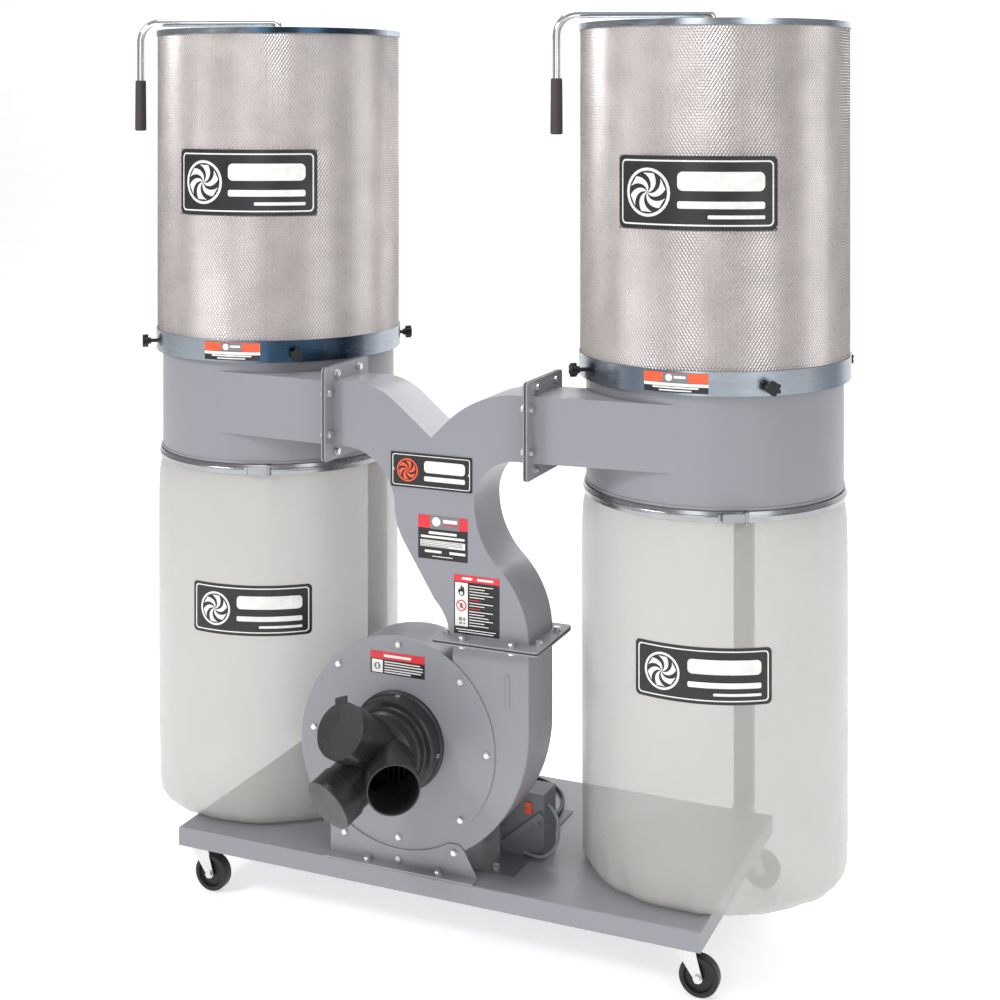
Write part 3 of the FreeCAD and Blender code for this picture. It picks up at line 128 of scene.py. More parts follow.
def add_stage():
    """A pale floor that curves up far behind, and soft light from above and the sides."""
    reach, height, bend, steps = 9.0, 6.0, 2.0, 12
    under_wheels = 0.5 * MM
    section = [(-reach, 0)]
    for step in range(steps + 1):
        angle = math.pi / 2 * step / steps
        section.append((reach - bend + bend * math.sin(angle), bend - bend * math.cos(angle)))
    section.append((reach, height))
    mesh = bmesh.new()
    rows = [[mesh.verts.new((x, y, z - under_wheels)) for y, z in section]
            for x in (-reach, reach)]
    for index in range(len(section) - 1):
        mesh.faces.new((rows[0][index], rows[1][index], rows[1][index + 1], rows[0][index + 1]))
    floor = finish_mesh(mesh, "stage_floor", [floor_paint()])
    world = bpy.data.worlds.new("studio")
    bpy.context.scene.world = world
    world.use_nodes = True
    background = world.node_tree.nodes["Background"]
    background.inputs["Color"].default_value = (1.0, 0.99, 0.97, 1)
    background.inputs["Strength"].default_value = 0.38
    centre = (0, 0, 0.9)
    add_light("key", (-2.6, -3.4, 3.6), centre, (1.0, 1.0), 92)
    add_light("fill", (3.6, -2.4, 2.2), centre, (1.8, 2.8), 34)
    add_light("top", (0, 0.2, 4.2), centre, (3.0, 2.0), 92)
    add_light("rim", (0.5, 3.6, 2.6), centre, (3.0, 1.2), 45)
    add_light("front", (0.45, -4.2, 1.6), (0, 0, 1.2), (1.4, 2.4), 24)
    scene = bpy.context.scene
    scene.view_settings.view_transform = "Standard"
    scene.view_settings.look = "None"


# ---------------------------------------------------------------- meshes

def finish_mesh(mesh, name, materials, smooth=False):
    """Turn a bmesh into an object with its materials."""
    data = bpy.data.meshes.new(name)
    mesh.to_mesh(data)
    mesh.free()
    item = bpy.data.objects.new(name, data)
    bpy.context.scene.collection.objects.link(item)
    for material in materials:
        data.materials.append(material)
    if smooth:
        data.polygons.foreach_set("use_smooth", [True] * len(data.polygons))
    return item


def surface(mesh, rows):
    """Faces between rows of points, each closed into a ring."""
    rings = [[mesh.verts.new(point) for point in row] for row in rows]
    for lower, upper in zip(rings, rings[1:]):
        for index in range(len(lower)):
            after = (index + 1) % len(lower)
            mesh.faces.new((lower[index], lower[after], upper[after], upper[index]))
    return rings


def lathe(name, profile, material, place, direction, steps):
    """A closed solid turned from (radius, height) points about an axis."""
    mesh = bmesh.new()
    turn = Vector((0, 0, 1)).rotation_difference(direction).to_matrix().to_4x4()
    rows = []
    for radius, height in profile:
        rows.append([(radius * math.cos(2 * math.pi * step / steps),
                      radius * math.sin(2 * math.pi * step / steps), height)
                     for step in range(steps)])
    surface(mesh, rows)
    bmesh.ops.remove_doubles(mesh, verts=mesh.verts, dist=1e-6)
    bmesh.ops.recalc_face_normals(mesh, faces=mesh.faces)
    bmesh.ops.transform(mesh, matrix=Matrix.Translation(place) @ turn, verts=mesh.verts)
    settle(finish_mesh(mesh, name, [material], smooth=True), "root")


def settle(item, body):
    """Tie a piece to its body."""
    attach(item, body)
    return item


# ---------------------------------------------------------------- materials

class Shader:
    """A Principled material being built, with short ways to add nodes."""

    def __init__(self, name, colour, roughness, metallic=0.0):
        self.material = bpy.data.materials.new(name)
        self.material.use_nodes = True
        self.tree = self.material.node_tree
        self.shader = self.tree.nodes["Principled BSDF"]
        self.set("Base Color", (*colour, 1))
        self.set("Roughness", roughness)
        self.set("Metallic", metallic)
        self.place = self.node("ShaderNodeTexCoord").outputs["Object"]

    def set(self, socket, value):
        self.shader.inputs[socket].default_value = value

    def node(self, kind):
        return self.tree.nodes.new(kind)

    def link(self, source, target):
        self.tree.links.new(source, target)

    def stretched(self, x, y, z):
        """Object coordinates scaled along each axis."""
        node = self.node("ShaderNodeMapping")
        self.link(self.place, node.inputs["Vector"])
        node.inputs["Scale"].default_value = (x, y, z)
        return node.outputs["Vector"]

    def noise(self, scale, detail, where=None):
        node = self.node("ShaderNodeTexNoise")
        self.link(where or self.place, node.inputs["Vector"])
        node.inputs["Scale"].default_value = scale
        node.inputs["Detail"].default_value = detail
        return node.outputs["Fac"]

    def ramp(self, factor, low, high, start, end):
        """A value or colour that runs from low to high as the factor runs from start to end."""
        node = self.node("ShaderNodeValToRGB")
        self.link(factor, node.inputs["Fac"])
        for stop, place, colour in zip(node.color_ramp.elements, (start, end), (low, high)):
            stop.position = place
            colour = (colour,) * 3 if isinstance(colour, (int, float)) else colour
            stop.color = (*colour, 1)
        return node.outputs["Color"]

    def bump(self, height, strength, distance):
        """A bump on top of those already there."""
        node = self.node("ShaderNodeBump")
        node.inputs["Strength"].default_value = strength
        node.inputs["Distance"].default_value = distance
        self.link(height, node.inputs["Height"])
        previous = self.shader.inputs["Normal"].links
        if previous:
            self.link(previous[0].from_socket, node.inputs["Normal"])
        self.link(node.outputs["Normal"], self.shader.inputs["Normal"])

    def colour(self, source):
        self.link(source, self.shader.inputs["Base Color"])

    def rough(self, source):
        self.link(source, self.shader.inputs["Roughness"])


def shade(colour, factor):
    """A colour made darker or lighter."""
    return tuple(min(1.0, part * factor) for part in colour)


def painted(name, colour, roughness=0.36):
    """Powder coat: faint orange peel, slight unevenness and dulled patches."""
    s = Shader(name, colour, roughness)
    s.set("Coat Weight", 0.12)
    s.set("Coat Roughness", 0.25)
    s.colour(s.ramp(s.noise(2.6, 4), shade(colour, 0.94), shade(colour, 1.05), 0.2, 0.8))
    s.rough(s.ramp(s.noise(9, 5), roughness - 0.05, roughness + 0.08, 0.2, 0.8))
    s.bump(s.noise(5.0, 2), 0.12, 0.004)
    s.bump(s.noise(420, 2), 0.10, 0.0004)
    return s.material


def metal(name, colour, roughness=0.3, streak=(1, 1, 1), fine=900):
    """Bare or plated metal with fine streaks along the stretched axis and faint blotches."""
    s = Shader(name, colour, roughness, 1.0)
    lines = s.noise(fine, 3, s.stretched(*streak))
    s.rough(s.ramp(lines, roughness * 0.75, roughness * 1.35, 0.3, 0.75))
    s.colour(s.ramp(s.noise(14, 4), shade(colour, 0.86), shade(colour, 1.1), 0.3, 0.75))
    s.bump(lines, 0.05, 0.0002)
    return s.material


def steel_with_painted_reflections(name, dark, light):
    """Bright blue-tinted sheet with painted reflections: upright light and dark bands in its colour
    run round it and stand in for its sheen.
    """
    s = Shader(name, light, 0.2, 1.0)
    # painted reflection: upright light and dark bands in the base colour stand in for reflections of
    # the surroundings
    painted_reflection_bands = s.noise(4.2, 1.5, s.stretched(1, 1, 0.04))
    s.colour(s.ramp(painted_reflection_bands, dark, light, 0.40, 0.62))
    streaks = s.noise(160, 3, s.stretched(0.15, 0.15, 1))
    s.rough(s.ramp(streaks, 0.16, 0.3, 0.3, 0.7))
    s.bump(streaks, 0.04, 0.0002)
    return s.material


def plastic(name, colour, roughness=0.35, grain=700, depth=0.12):
    """Moulded plastic with a fine grain and handling marks."""
    s = Shader(name, colour, roughness)
    s.set("Specular IOR Level", 0.36)
    s.rough(s.ramp(s.noise(22, 5), roughness - 0.06, roughness + 0.12, 0.2, 0.8))
    s.colour(s.ramp(s.noise(6, 3), shade(colour, 0.85), shade(colour, 1.2), 0.2, 0.8))
    s.bump(s.noise(grain, 2), depth, 0.0003)
    return s.material


def floor_paint():
    """Matte white with a little glow of its own, so that the floor fades into the background."""
    s = Shader("stage_paint", (0.9, 0.9, 0.9), 0.6)
    s.colour(s.ramp(s.noise(0.6, 2), 0.88, 0.92, 0.3, 0.7))
    s.set("Emission Color", (1, 1, 1, 1))
    s.set("Emission Strength", 0.5)
    return s.material


def filter_cloth():
    """Non-woven media: warm grey-white, faintly mottled, with a felted surface."""
    colour = (0.70, 0.64, 0.63)
    s = Shader("filter_cloth", colour, 0.9)
    s.colour(s.ramp(s.noise(18, 5), shade(colour, 0.86), shade(colour, 1.08), 0.3, 0.72))
    s.bump(s.noise(900, 3), 0.3, 0.0005)
    return s.material


def bag_film():
    """Milky polythene that lets the shapes behind it show faintly."""
    colour = (0.52, 0.51, 0.49)
    s = Shader("bag_film", colour, 0.3)
    s.set("Alpha", 0.62)
    s.set("Subsurface Weight", 0.1)
    s.set("Subsurface Radius", (0.02, 0.02, 0.02))
    s.colour(s.ramp(s.noise(4, 4), shade(colour, 0.95), shade(colour, 1.04), 0.2, 0.8))
    s.rough(s.ramp(s.noise(12, 4), 0.26, 0.42, 0.2, 0.8))
    s.bump(s.noise(9, 2, s.stretched(1, 1, 0.5)), 0.10, 0.008)
    return s.material


def printed(name, colour):
    """Ink or foil of a label, with faint scuffs."""
    roughness = 0.38
    s = Shader(name, colour, roughness)
    s.colour(s.ramp(s.noise(60, 5), shade(colour, 0.9), shade(colour, 1.08), 0.3, 0.72))
    s.rough(s.ramp(s.noise(30, 4), roughness - 0.06, roughness + 0.1, 0.35, 0.7))
    return s.material


def cord_jacket(name, colour):
    """Soft vinyl of a cord, with faint scuffs."""
    s = Shader(name, colour, 0.48)
    s.rough(s.ramp(s.noise(40, 4), 0.4, 0.58, 0.2, 0.8))
    s.colour(s.ramp(s.noise(15, 3), shade(colour, 0.85), shade(colour, 1.25), 0.2, 0.8))
    s.bump(s.noise(1200, 2), 0.1, 0.0002)
    return s.material


BLUE_GREY = (0.268, 0.271, 0.303)
PAINT = painted("blue_grey_paint", BLUE_GREY)
DARK_PAINT = painted("dark_grey_paint", (0.135, 0.14, 0.155), 0.42)
# the galvanised rings and caps carry painted reflections, as bands of dark and light colour
GALVANISED = steel_with_painted_reflections("galvanised", (0.035, 0.070, 0.115), (0.42, 0.47, 0.53))
BAND_STEEL = metal("band_steel", (0.36, 0.37, 0.39), 0.24, (1, 1, 30), 60)
ZINC = metal("zinc_steel", (0.70, 0.70, 0.69), 0.27)
CHROME = metal("chrome", (0.78, 0.79, 0.81), 0.09, (1, 1, 0.1), 300)
BRONZE = metal("bronze", (0.55, 0.37, 0.16), 0.35)
CASTING = painted("cast_iron", (0.10, 0.105, 0.11), 0.55)
BLACK = plastic("black_plastic", (0.026, 0.026, 0.027), 0.27)
KNOB_BLACK = plastic("knob_black", (0.013, 0.013, 0.014), 0.38, 500)
GRIP = plastic("grip_vinyl", (0.060, 0.052, 0.053), 0.5, 900, 0.2)
RED = plastic("red_plastic", (0.72, 0.09, 0.03), 0.3)
RUBBER = plastic("soft_rubber", (0.018, 0.018, 0.018), 0.65, 900)
WHEEL = plastic("wheel_rubber", (0.017, 0.017, 0.018), 0.42, 600)
MESH = metal("expanded_mesh", (0.74, 0.705, 0.695), 0.33, (1, 1, 1), 500)
MESH_INK = metal("mesh_ink", (0.10, 0.10, 0.12), 0.36, (1, 1, 1), 500)
CLOTH = filter_cloth()
FILM = bag_film()
CORD = cord_jacket("cord_black", (0.018, 0.018, 0.019))
LEAD = cord_jacket("lead_grey", (0.24, 0.24, 0.25))
INK = printed("label_black", (0.012, 0.012, 0.015))
WHITE = printed("label_white", (0.82, 0.82, 0.80))
LABEL_RED = printed("label_red", (0.72, 0.03, 0.045))
LABEL_ORANGE = printed("label_orange", (0.86, 0.11, 0.035))
LABEL_GREY = printed("label_grey", (0.20, 0.20, 0.21))

SHOWN = {
    "blue_grey_paint": PAINT, "dark_grey_paint": DARK_PAINT, "galvanised": GALVANISED,
    "zinc_steel": ZINC, "chrome": CHROME, "bronze": BRONZE, "cast_iron": CASTING,
    "black_plastic": BLACK, "red_plastic": RED, "rubber": RUBBER, "wheel_rubber": WHEEL,
    "clear_bag": FILM, "filter_cloth": CLOTH, "expanded_mesh": MESH, "cord_jacket": CORD,
    "lead_jacket": LEAD,
}
# nodes that don't look like the rest of their slot
SPECIAL = {
    "top_caps": GALVANISED, "bag_clamps": BAND_STEEL, "left_latch": BAND_STEEL,
    "right_latch": BAND_STEEL, "left_grip": GRIP, "right_grip": GRIP,
}


def paint_frame():
    """Give every carried-over CAD node its material, by the record's slots."""
    for row in frame["record"]["subparts"]:
        node = row["node"]
        material = SPECIAL.get(node, SHOWN[row["material_slot"]])
        if "_knob_" in node:
            material = KNOB_BLACK
        item = nodes[node]
        if not item.material_slots:
            item.data.materials.append(material)
        for holder in item.material_slots:
            holder.material = material


# ---------------------------------------------------------------- canisters

CELL_WIDTH, CELL_HEIGHT = 6.6 * MM, 10.6 * MM
STRAND = 1.5 * MM
LABEL_WIDTH, LABEL_HEIGHT, LABEL_Z = 312, 136, 1.466


def mesh_guard(side):
    """Expanded metal: a staggered lattice of diamond holes whose strands stand at a slant."""
    low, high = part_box("mesh_guards")
    radius = (high.y - low.y) / 2 - 0.9 * MM
    columns = round(2 * math.pi * radius / CELL_WIDTH)
    rows = round((high.z - low.z) / CELL_HEIGHT * 2)
    width, half = 2 * math.pi / columns, (high.z - low.z) / rows
    opening = 1 - 1.35 * STRAND / CELL_WIDTH
    tip_x, tip_z = 0.5 * width * opening, half * opening
    tilt = 0.8 * MM
    mesh = bmesh.new()

    def at(angle, reach, z):
        return mesh.verts.new(side.point(angle, reach, z))

    def strand(*corners):
        """One strand, inked where the canister's label is printed over it."""
        face = mesh.faces.new(corners)
        spot = face.calc_center_median() - side.axis
        around = math.atan2(spot.y, spot.x) - math.radians(side.turn)
        across, up = abs(around) * radius, abs(spot.z - LABEL_Z)
        inked = across < LABEL_WIDTH * MM / 2 and up < LABEL_HEIGHT * MM / 2
        face.material_index = 1 if inked else 0

    holes = {}
    for row in range(1, rows):
        z = low.z + row * half
        for column in range(columns):
            angle = (column + row % 2 / 2) * width
            holes[row, column] = (
                at(angle + tip_x, radius, z), at(angle, radius + tilt, z + tip_z),
                at(angle - tip_x, radius, z), at(angle, radius - tilt, z - tip_z))
    for (row, column), (east, north, *_) in holes.items():
        beside = holes[row, (column + 1) % columns]
        right = (column + row % 2) % columns
        above, below = holes.get((row + 1, right)), holes.get((row - 1, right))
        if above:
            strand(north, east, above[3], above[2])
            strand(beside[2], beside[1], above[0], above[3])
        if above and below:
            strand(east, below[1], beside[2], above[3])
    bmesh.ops.recalc_face_normals(mesh, faces=mesh.faces)
    item = finish_mesh(mesh, side.name + "_mesh_guard", [MESH, MESH_INK])
    return settle(item, "root")


PLEATS, PLEAT_DEPTH = 130, 20 * MM


def filter_pleats(side):
    """The media folded into deep pleats, as a closed zigzag wall."""
    low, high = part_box("filter_media")
    outer = (high.y - low.y) / 2 - 1.5 * MM
    inner, brim, wall = outer - PLEAT_DEPTH, outer - 0.4 * MM, 0.8 * MM
    one_pleat = ((0.0, outer), (0.485, brim), (0.5, inner), (0.515, brim))
    mesh = bmesh.new()

    def ring(shift, z):
        points = []
        for index in range(PLEATS):
            for share, radius in one_pleat:
                points.append(side.point(2 * math.pi * (index + share) / PLEATS, radius + shift, z))
        return points

    outside = [ring(0, z) for z in (low.z, high.z)]
    inside = [ring(-wall, z) for z in (high.z, low.z)]
    surface(mesh, [*outside, *inside, outside[0]])
    bmesh.ops.remove_doubles(mesh, verts=mesh.verts, dist=1e-6)
    bmesh.ops.recalc_face_normals(mesh, faces=mesh.faces)
    item = finish_mesh(mesh, side.name + "_filter_pleats", [CLOTH])
    return settle(item, "root")


# ---------------------------------------------------------------- bags

BAG_MOUTH = 253.8 * MM
CLAMPED = 22 * MM
GATHERS = (11, 17, 26, 39)
GATHER_DEPTH, GATHER_LENGTH = 16 * MM, 50 * MM
SWELL_LENGTH, SLACK_DEPTH = 16 * MM, 1.6 * MM
CREASE_DEPTH, CREASE_LENGTH = 4.5 * MM, 75 * MM


def bag_radius(side, angle, z):
    """Radius of a bag at an angle in radians and a height.

    It swells below the clamp with small gathers, hangs a little slack, and creases at its foot.
    """
    down = max(0.0, side.bag_high.z - CLAMPED - z)
    up = z - side.bag_low.z
    around = Vector((math.cos(angle), math.sin(angle), 0))
    seed = side.seed
    swell = 1 - math.exp(-down / SWELL_LENGTH)
    radius = BAG_MOUTH + (side.bag_widest - BAG_MOUTH) * swell
    gathers = sum(math.sin(count * angle + seed * count) / count for count in GATHERS) - 0.2
    radius += GATHER_DEPTH * gathers * math.exp(-down / GATHER_LENGTH) * swell
    slack = 1 + noise.noise(around * 1.9 + Vector((seed, seed, z * 1.3)))
    radius -= SLACK_DEPTH * slack
    creases = 1 + 1.3 * noise.noise(around * 4.2 + Vector((seed * 2, 0, z * 5)))
    creases += 0.9 * noise.noise(around * 10 + Vector((up * 9, seed, z * 7)))
    radius -= CREASE_DEPTH * max(0.0, creases) * math.exp(-up / CREASE_LENGTH)
    return min(radius, side.bag_widest)


def dust_bag(side):
    """A polythene bag from the drum's edge to its rounded bottom, which lies on the tray."""
    low, high = side.bag_low, side.bag_high
    corner, bends, steps = 24 * MM, 14, 288
    above_tray, wrinkle_height = 0.3 * MM, 1.2 * MM
    fine_step, coarse_step = 4 * MM, 9 * MM
    fine_top, fine_foot = 0.14, 0.2
    angles = [2 * math.pi * step / steps for step in range(steps)]
    rows = []
    z = high.z
    while z > low.z + corner:
        rows.append([side.point(angle, bag_radius(side, angle, z), z) for angle in angles])
        near_end = z > high.z - fine_top or z < low.z + fine_foot
        z -= fine_step if near_end else coarse_step
    for step in range(bends + 1):
        turn = math.pi / 2 * step / bends
        z = low.z + corner * (1 - math.sin(turn)) + above_tray
        inset = corner * (1 - math.cos(turn))
        rows.append([side.point(angle, bag_radius(side, angle, z) - inset, z) for angle in angles])
    for share in (0.75, 0.45, 0.15):
        row = []
        for angle in angles:
            reach = share * (bag_radius(side, angle, low.z) - corner)
            wrinkle = noise.noise(Vector((6 * share, 2 * math.cos(angle), 2 * math.sin(angle))))
            z = low.z + above_tray + wrinkle_height * abs(wrinkle)
            row.append(side.point(angle, reach, z))
        rows.append(row)
    mesh = bmesh.new()
    rings = surface(mesh, rows)
    mesh.faces.new(rings[-1])
    bmesh.ops.recalc_face_normals(mesh, faces=mesh.faces)
    item = finish_mesh(mesh, side.name + "_bag", [FILM], smooth=True)
    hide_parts(side.name + "_dust_bag")
    settle(item, "root")


# ---------------------------------------------------------------- labels

def rounded(width, height, corner, x=0.0, y=0.0):
    """Outline of a rectangle with round corners, in millimetres."""
    points = []
    for index, (side_x, side_y) in enumerate(((1, 1), (-1, 1), (-1, -1), (1, -1))):
        for step in range(6):
            angle = math.radians(90 * index + 18 * step)
            points.append((x + side_x * (width / 2 - corner) + corner * math.cos(angle),
                           y + side_y * (height / 2 - corner) + corner * math.sin(angle)))
    return points


def disc(radius, x=0.0, y=0.0, steps=28):
    """Outline of a disc, in millimetres."""
    angles = [2 * math.pi * step / steps for step in range(steps)]
    return [(x + radius * math.cos(angle), y + radius * math.sin(angle)) for angle in angles]


def blade(radius, turn, x):
    """One curved blade of a plain fan sign, between two spiral edges."""
    steps, sweep, width = 8, 70, 34
    outward = [(step / steps, 0) for step in range(steps + 1)]
    inward = [(step / steps, width) for step in range(steps, 0, -1)]
    points = []
    for share, ahead in outward + inward:
        angle = math.radians(turn + ahead + sweep * share)
        points.append((x + radius * share * math.cos(angle), radius * share * math.sin(angle)))
    return points


LABEL_STRIP = 9.0
LABEL_LIFT = 0.35 * MM


def label(name, shapes, where, lift=LABEL_LIFT, gap=0.12 * MM):
    """A label of flat shapes laid on a surface, each shape a little above the last.

    shapes are (outline, material) with outlines in millimetres; where(u, v, lift) gives the
    point of the surface.  Shapes are cut into strips so that they bend with the surface.
    """
    mesh = bmesh.new()
    materials = []
    for level, (points, material) in enumerate(shapes):
        if material not in materials:
            materials.append(material)
        layer = bmesh.new()
        face = layer.faces.new([layer.verts.new((x, y, 0)) for x, y in points])
        face.normal_update()
        if face.normal.z < 0:
            face.normal_flip()
        left, right = min(p[0] for p in points), max(p[0] for p in points)
        cut = math.floor(left / LABEL_STRIP) * LABEL_STRIP + LABEL_STRIP
        while cut < right:
            everything = layer.verts[:] + layer.edges[:] + layer.faces[:]
            bmesh.ops.bisect_plane(layer, geom=everything, plane_co=(cut, 0, 0), plane_no=(1, 0, 0))
            cut += LABEL_STRIP
        height = lift + level * gap
        copies = {vert: mesh.verts.new(where(vert.co.x, vert.co.y, height)) for vert in layer.verts}
        for face in layer.faces:
            made = mesh.faces.new([copies[vert] for vert in face.verts])
            made.material_index = materials.index(material)
        layer.free()
    settle(finish_mesh(mesh, name, materials), "root")


def on_canister(side, degrees, radius, z):
    """Mapping from label millimetres to a cylinder about a canister's axis."""
    def where(u, v, lift):
        return side.point(math.radians(degrees) + u * MM / radius, radius + lift, z + v * MM)
    return where


def on_bag(side, degrees, z):
    """Mapping to the outside of a bag, with its folds."""
    clear = 0.5 * MM

    def where(u, v, lift):
        angle = math.radians(degrees) + u * MM / side.bag_widest
        reach = bag_radius(side, angle, z + v * MM) + lift + clear
        return side.point(angle, reach, z + v * MM)
    return where


DUCT_FRONT = machine(0, -241, 0).y
COVER_STEP = 3 * MM


def on_front(x, z):
    """Mapping to the flat front of the duct and the casing."""
    centre = machine(x, 0, z)

    def where(u, v, lift):
        return Vector((centre.x + u * MM, DUCT_FRONT - lift, centre.z + v * MM))
    return where


def emblem(width, height, fan, bars):
    """A black plate with a white line, a plain fan sign and blank bars.

    Each bar is its height on the plate, its length and its thickness, as shares of the plate.
    """
    shapes = [(rounded(width, height, 0.09 * height), INK),
              (rounded(width * 0.955, height * 0.89, 0.07 * height), WHITE),
              (rounded(width * 0.935, height * 0.845, 0.055 * height), INK)]
    centre = -width * 0.29
    radius = height * 0.30
    shapes.append((disc(radius * 1.12, centre), fan))
    shapes.append((disc(radius * 0.98, centre), INK))
    shapes += [(blade(radius * 0.92, turn, centre), fan) for turn in range(0, 360, 60)]
    for y, long, tall in bars:
        shapes.append((rounded(width * long, height * tall, height * tall * 0.3,
                               width * (0.42 - long / 2), height * y), WHITE))
    return shapes


THREE_BARS = ((0.16, 0.52, 0.26), (-0.16, 0.52, 0.10), (-0.32, 0.34, 0.05))


def canister_label(side):
    """Print on the front of a guard, just over its strands."""
    low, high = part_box("mesh_guards")
    shapes = emblem(LABEL_WIDTH, LABEL_HEIGHT, WHITE, THREE_BARS)
    radius = (high.y - low.y) / 2 - 0.75 * MM
    label(side.name + "_canister_label", shapes,
          on_canister(side, side.turn, radius, LABEL_Z), lift=0.3 * MM, gap=0.05 * MM)


def bag_label(side):
    """Print on the front of a bag."""
    width, height, z = 262, 104, 0.583
    shapes = emblem(width, height, WHITE, THREE_BARS)
    label(side.name + "_bag_label", shapes, on_bag(side, side.turn + 3, z))


def band_label(side, degrees):
    """Orange, white and black strip on the canister's ring."""
    low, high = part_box("lower_rings")
    radius = max((high.y - low.y) / 2, 267.5 * MM)
    shapes = [(rounded(124, 37, 1), INK), (rounded(124, 6, 0.5, 0, -4), WHITE),
              (rounded(124, 18, 0.5, 0, 9), LABEL_ORANGE), (rounded(48, 17, 0.5, 0, 8.6), LABEL_GREY),
              (disc(6.6, -12, 8.8), WHITE), (rounded(22, 5, 1, 9, 10), WHITE),
              (rounded(88, 3, 0.5, 0, -9.4), WHITE), (rounded(62, 2.6, 0.5, 0, -14.6), WHITE)]
    z = 1.118
    label(side.name + "_band_label", shapes, on_canister(side, degrees, radius, z))


def duct_badge():
    """Raised plate held by two rivets."""
    width, height, x, z = 175, 68, 7, 912
    shapes = emblem(width, height, LABEL_ORANGE, ((0.14, 0.50, 0.34), (-0.20, 0.50, 0.14)))
    centre = machine(x, 0, z)
    depth = 1.6 * MM
    mesh = bmesh.new()
    outlines = [[(centre.x + u * MM, DUCT_FRONT - y, centre.z + v * MM)
                 for u, v in rounded(width, height, 2.5)] for y in (0.05 * MM, depth)]
    rings = surface(mesh, outlines)
    mesh.faces.new(rings[-1])
    mesh.faces.new(reversed(rings[0]))
    bmesh.ops.recalc_face_normals(mesh, faces=mesh.faces)
    front = [edge for edge in mesh.edges
             if all(vert.co.y < DUCT_FRONT - 0.9 * depth for vert in edge.verts)]
    bmesh.ops.bevel(mesh, geom=front, offset=0.4 * MM, segments=2, affect="EDGES")
    settle(finish_mesh(mesh, "badge_plate", [INK]), "root")
    label("badge_print", shapes, on_front(x, z), lift=depth + 0.1 * MM)
    for name, sign in (("left", -1), ("right", 1)):
        reach = sign * (width / 2 - 6.5) * MM
        place = Vector((centre.x + reach, DUCT_FRONT - depth, centre.z))
        lathe("badge_rivet_" + name,
              dome(2.2 * MM, 1.3 * MM), ZINC, place, Vector((0, -1, 0)), 24)


def dome(radius, height):
    """Profile of a low dome with a flat underside."""
    steps = 7
    points = [(0, 0)]
    for step in range(steps + 1):
        angle = math.pi / 2 * step / steps
        points.append((radius * math.cos(angle), height * math.sin(angle)))
    return points


def spec_label():
    """Black, red and grey panel of blank bars on the duct."""
    shapes = [(rounded(106, 85, 1), INK), (rounded(106, 25, 0.8, 0, 30), LABEL_RED),
              (rounded(62, 26, 0.8, 4, 29.5), LABEL_GREY), (disc(9, -14, 31), WHITE),
              (rounded(30, 7, 1.5, 16, 33), WHITE), (rounded(30, 2.4, 0.8, 16, 26), LABEL_RED),
              (rounded(60, 5, 1, 0, 9), WHITE), (rounded(94, 4.6, 1, 0, 1), WHITE),
              (rounded(96, 13, 0.8, 0, -12), WHITE)]
    for y, wide, x in ((-7.6, 90, -2), (-10.8, 90, -2), (-14, 90, -2), (-17, 60, -17)):
        shapes.append((rounded(wide, 1.1, 0.4, x, y), LABEL_GREY))
    shapes += [(rounded(36, 5, 0.8, -20, -27), WHITE), (rounded(34, 5, 0.8, 32, -27), WHITE),
               (rounded(44, 1.6, 0.5, 0, -36), WHITE)]
    label("spec_label", shapes, on_front(32, 785))


def safety_label():
    """Black and red panel with two plain pictograms and blank lines."""
    shapes = [(rounded(96, 114, 1), INK), (rounded(96, 13, 0.8, 0, 50.5), LABEL_RED),
              (rounded(22, 4.6, 1, -20, 50.5), WHITE), (rounded(34, 4.6, 1, 18, 50.5), WHITE),
              (rounded(27, 84, 0.8, -32, 0), WHITE)]
    flame = [(-32, 16), (-37, 19), (-39, 25), (-37, 31), (-34.5, 29), (-33, 38), (-29, 33),
             (-27.5, 35), (-25.5, 27), (-25.5, 21), (-28, 17)]
    shapes += [(flame, INK), (disc(3.4, -32, 21.5, 16), WHITE),
               (disc(11, -32, -2), LABEL_RED), (disc(8.6, -32, -2), WHITE),
               (rounded(5, 9, 2.2, -32, -2), INK)]
    slash = [(-39.5, 4), (-38, 5.5), (-24.5, -8), (-26, -9.5)]
    shapes.append((slash, LABEL_RED))
    for row in range(5):
        for column in range(5):
            if (row * 3 + column * 5 + row * column) % 3:
                shapes.append((rounded(3, 3, 0.4, -38.4 + 3.2 * column, -36 + 3.2 * row), LABEL_GREY))
    for index in range(15):
        y = 38 - index * 5.4
        red = index in (5, 8)
        wide = 24 if red else 50 - (index * 17) % 3 * 9
        shapes.append((rounded(wide, 1.7, 0.5, -14 + wide / 2, y), LABEL_RED if red else WHITE))
    for y, wide in ((-46.5, 84), (-51, 74)):
        shapes.append((rounded(wide, 1.8, 0.5, 0, y), WHITE))
    label("safety_label", shapes, on_front(104, 662))


def casing_label():
    """Black panel with a red header, on the casing's cover."""
    shapes = [(rounded(119, 44, 1), INK), (rounded(119, 15, 0.8, 0, 14.5), LABEL_RED),
              (rounded(60, 5, 1.5, 0, 14), WHITE), (rounded(24, 25, 0.8, -44, -7.5), WHITE),
              (disc(7, -44, -7.5, 20), LABEL_GREY), (rounded(4, 9, 1.5, -44, -7.5), WHITE)]
    for y, wide in ((2.5, 78), (-2.5, 84), (-8, 84), (-13, 80), (-17.5, 58)):
        shapes.append((rounded(wide, 2.2, 0.6, -28 + wide / 2, y), WHITE))
    label("casing_label", shapes, on_front(-65, 528), lift=COVER_STEP + LABEL_LIFT)


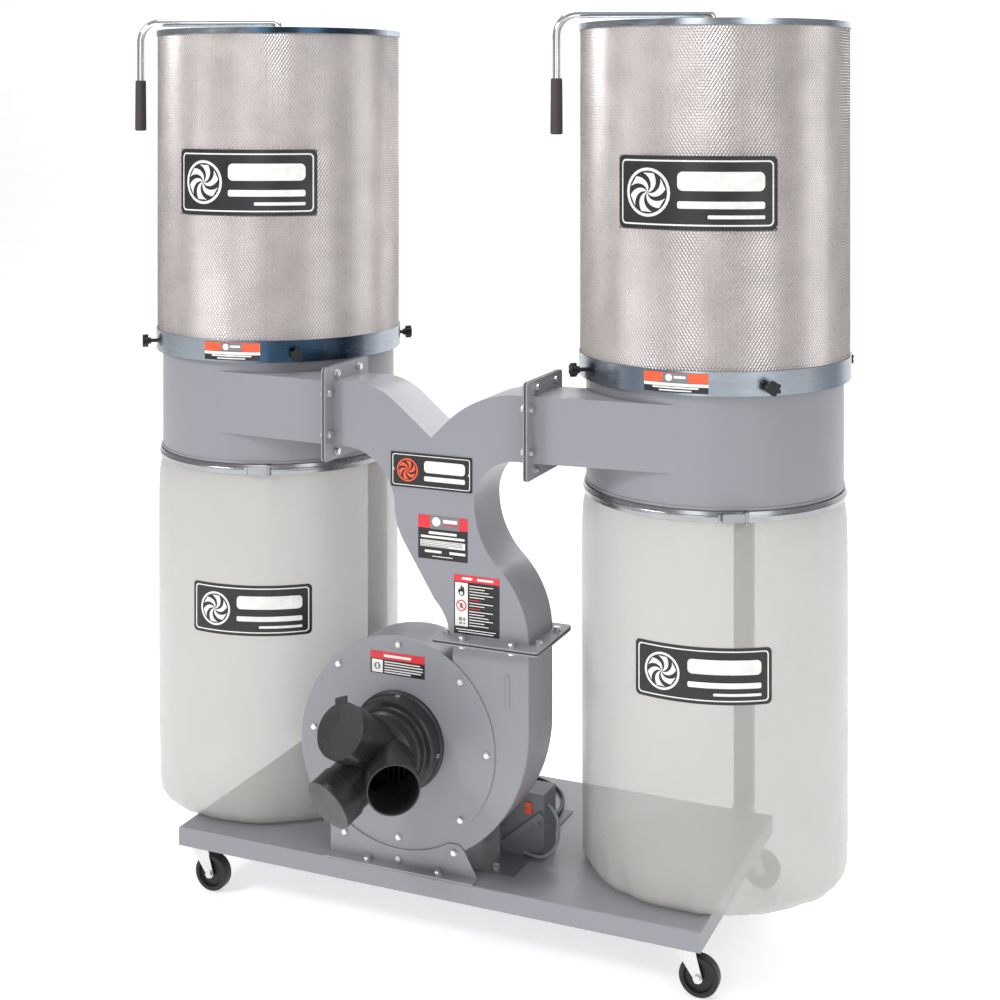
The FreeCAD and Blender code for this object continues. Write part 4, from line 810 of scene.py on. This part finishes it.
def pressed_rib():
    """An upright rib pressed out of the casing's front, beside the cover."""
    centre = machine(168, 0, 505)
    width, height, corner = 9, 66, 4.2
    mesh = bmesh.new()
    rows = []
    for shrink, out in ((0, -0.2 * MM), (0.3, 1.0 * MM), (1.2, 1.8 * MM), (2.4, 2.0 * MM)):
        outline = rounded(width - shrink, height - shrink, corner - shrink / 2)
        rows.append([(centre.x + u * MM, DUCT_FRONT - out, centre.z + v * MM) for u, v in outline])
    rings = surface(mesh, rows)
    mesh.faces.new(rings[-1])
    mesh.faces.new(reversed(rings[0]))
    bmesh.ops.recalc_face_normals(mesh, faces=mesh.faces)
    settle(finish_mesh(mesh, "pressed_rib", [PAINT], smooth=True), "root")


# ---------------------------------------------------------------- cords

def spline(name, points, radius, material):
    """A smooth cord along control points, in metres."""
    curve = bpy.data.curves.new(name, "CURVE")
    curve.dimensions = "3D"
    curve.resolution_u = 8
    curve.bevel_depth = radius
    curve.bevel_resolution = 5
    curve.use_fill_caps = True
    line = curve.splines.new("NURBS")
    line.points.add(len(points) - 1)
    for control, point in zip(line.points, points):
        control.co = (*point, 1)
    line.order_u = 3
    line.use_endpoint_u = True
    item = bpy.data.objects.new(name, curve)
    bpy.context.scene.collection.objects.link(item)
    curve.materials.append(material)
    return item


LEAD_RADIUS, CORD_RADIUS = 3.25 * MM, 4 * MM

# routes in the millimetres of machine()
LEAD_ROUTE = (
    (192, -90, 236), (212, -96, 224), (222, -105, 198), (221, -116, 171), (206, -126, 151),
    (180, -128, 144), (150, -113, 144))

CORD_ROUTE = (
    (150, -18, 170), (150, 16, 168), (149, 52, 152), (147, 92, 143), (138, 132, 142.6),
    (124, 172, 139.6), (96, 210, 139.3), (54, 236, 139.3), (5, 247, 139.3), (-44, 246, 139.2))


def motor_lead():
    """The grey lead from the switch box down to the motor."""
    points = [machine(*point) for point in LEAD_ROUTE]
    item = spline("grey_lead", points, LEAD_RADIUS, LEAD)
    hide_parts("motor_lead")
    settle(item, "root")


def coil_points():
    """Three turns inward on the tray, then three outward on top of them."""
    low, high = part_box("cord_coil")
    centre = middle("cord_coil")
    outer = (high.x - low.x) / 2 - CORD_RADIUS
    per_turn, turns, inmost = 16, 3, 2.02
    beside, above = 2 * CORD_RADIUS * 0.98, 2 * CORD_RADIUS * 0.97
    points = []
    for layer, sign in ((0, -1), (1, 1)):
        for step in range(per_turn * turns + 1):
            share = step / per_turn
            radius = outer - beside * (share if layer == 0 else turns - share)
            radius = max(radius, outer - 2 * CORD_RADIUS * inmost)
            angle = math.radians(90) + 2 * math.pi * (share + layer * turns)
            z = low.z + CORD_RADIUS + layer * above
            around = Vector((radius * math.cos(angle), radius * math.sin(angle), z))
            points.append(centre.xy.to_3d() + around)
    return points


def power_cord():
    """The black cord from the switch box to its coil and plug."""
    route = [machine(*point) for point in CORD_ROUTE]
    points = route[:-1] + coil_points()
    item = spline("black_cord", points, CORD_RADIUS, CORD)
    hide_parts("power_cord", "cord_coil")
    settle(item, "root")


# ---------------------------------------------------------------- the whole machine

paint_frame()
add_camera()
motor_lead()
power_cord()
guards = [mesh_guard(side) for side in SIDES]
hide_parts("mesh_guards")
pleats = [filter_pleats(side) for side in SIDES]
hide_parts("filter_media")
for side, band_angle in zip(SIDES, (-81, -89.5)):
    dust_bag(side)
    canister_label(side)
    bag_label(side)
    band_label(side, band_angle)
duct_badge()
spec_label()
safety_label()
casing_label()
pressed_rib()
add_stage()
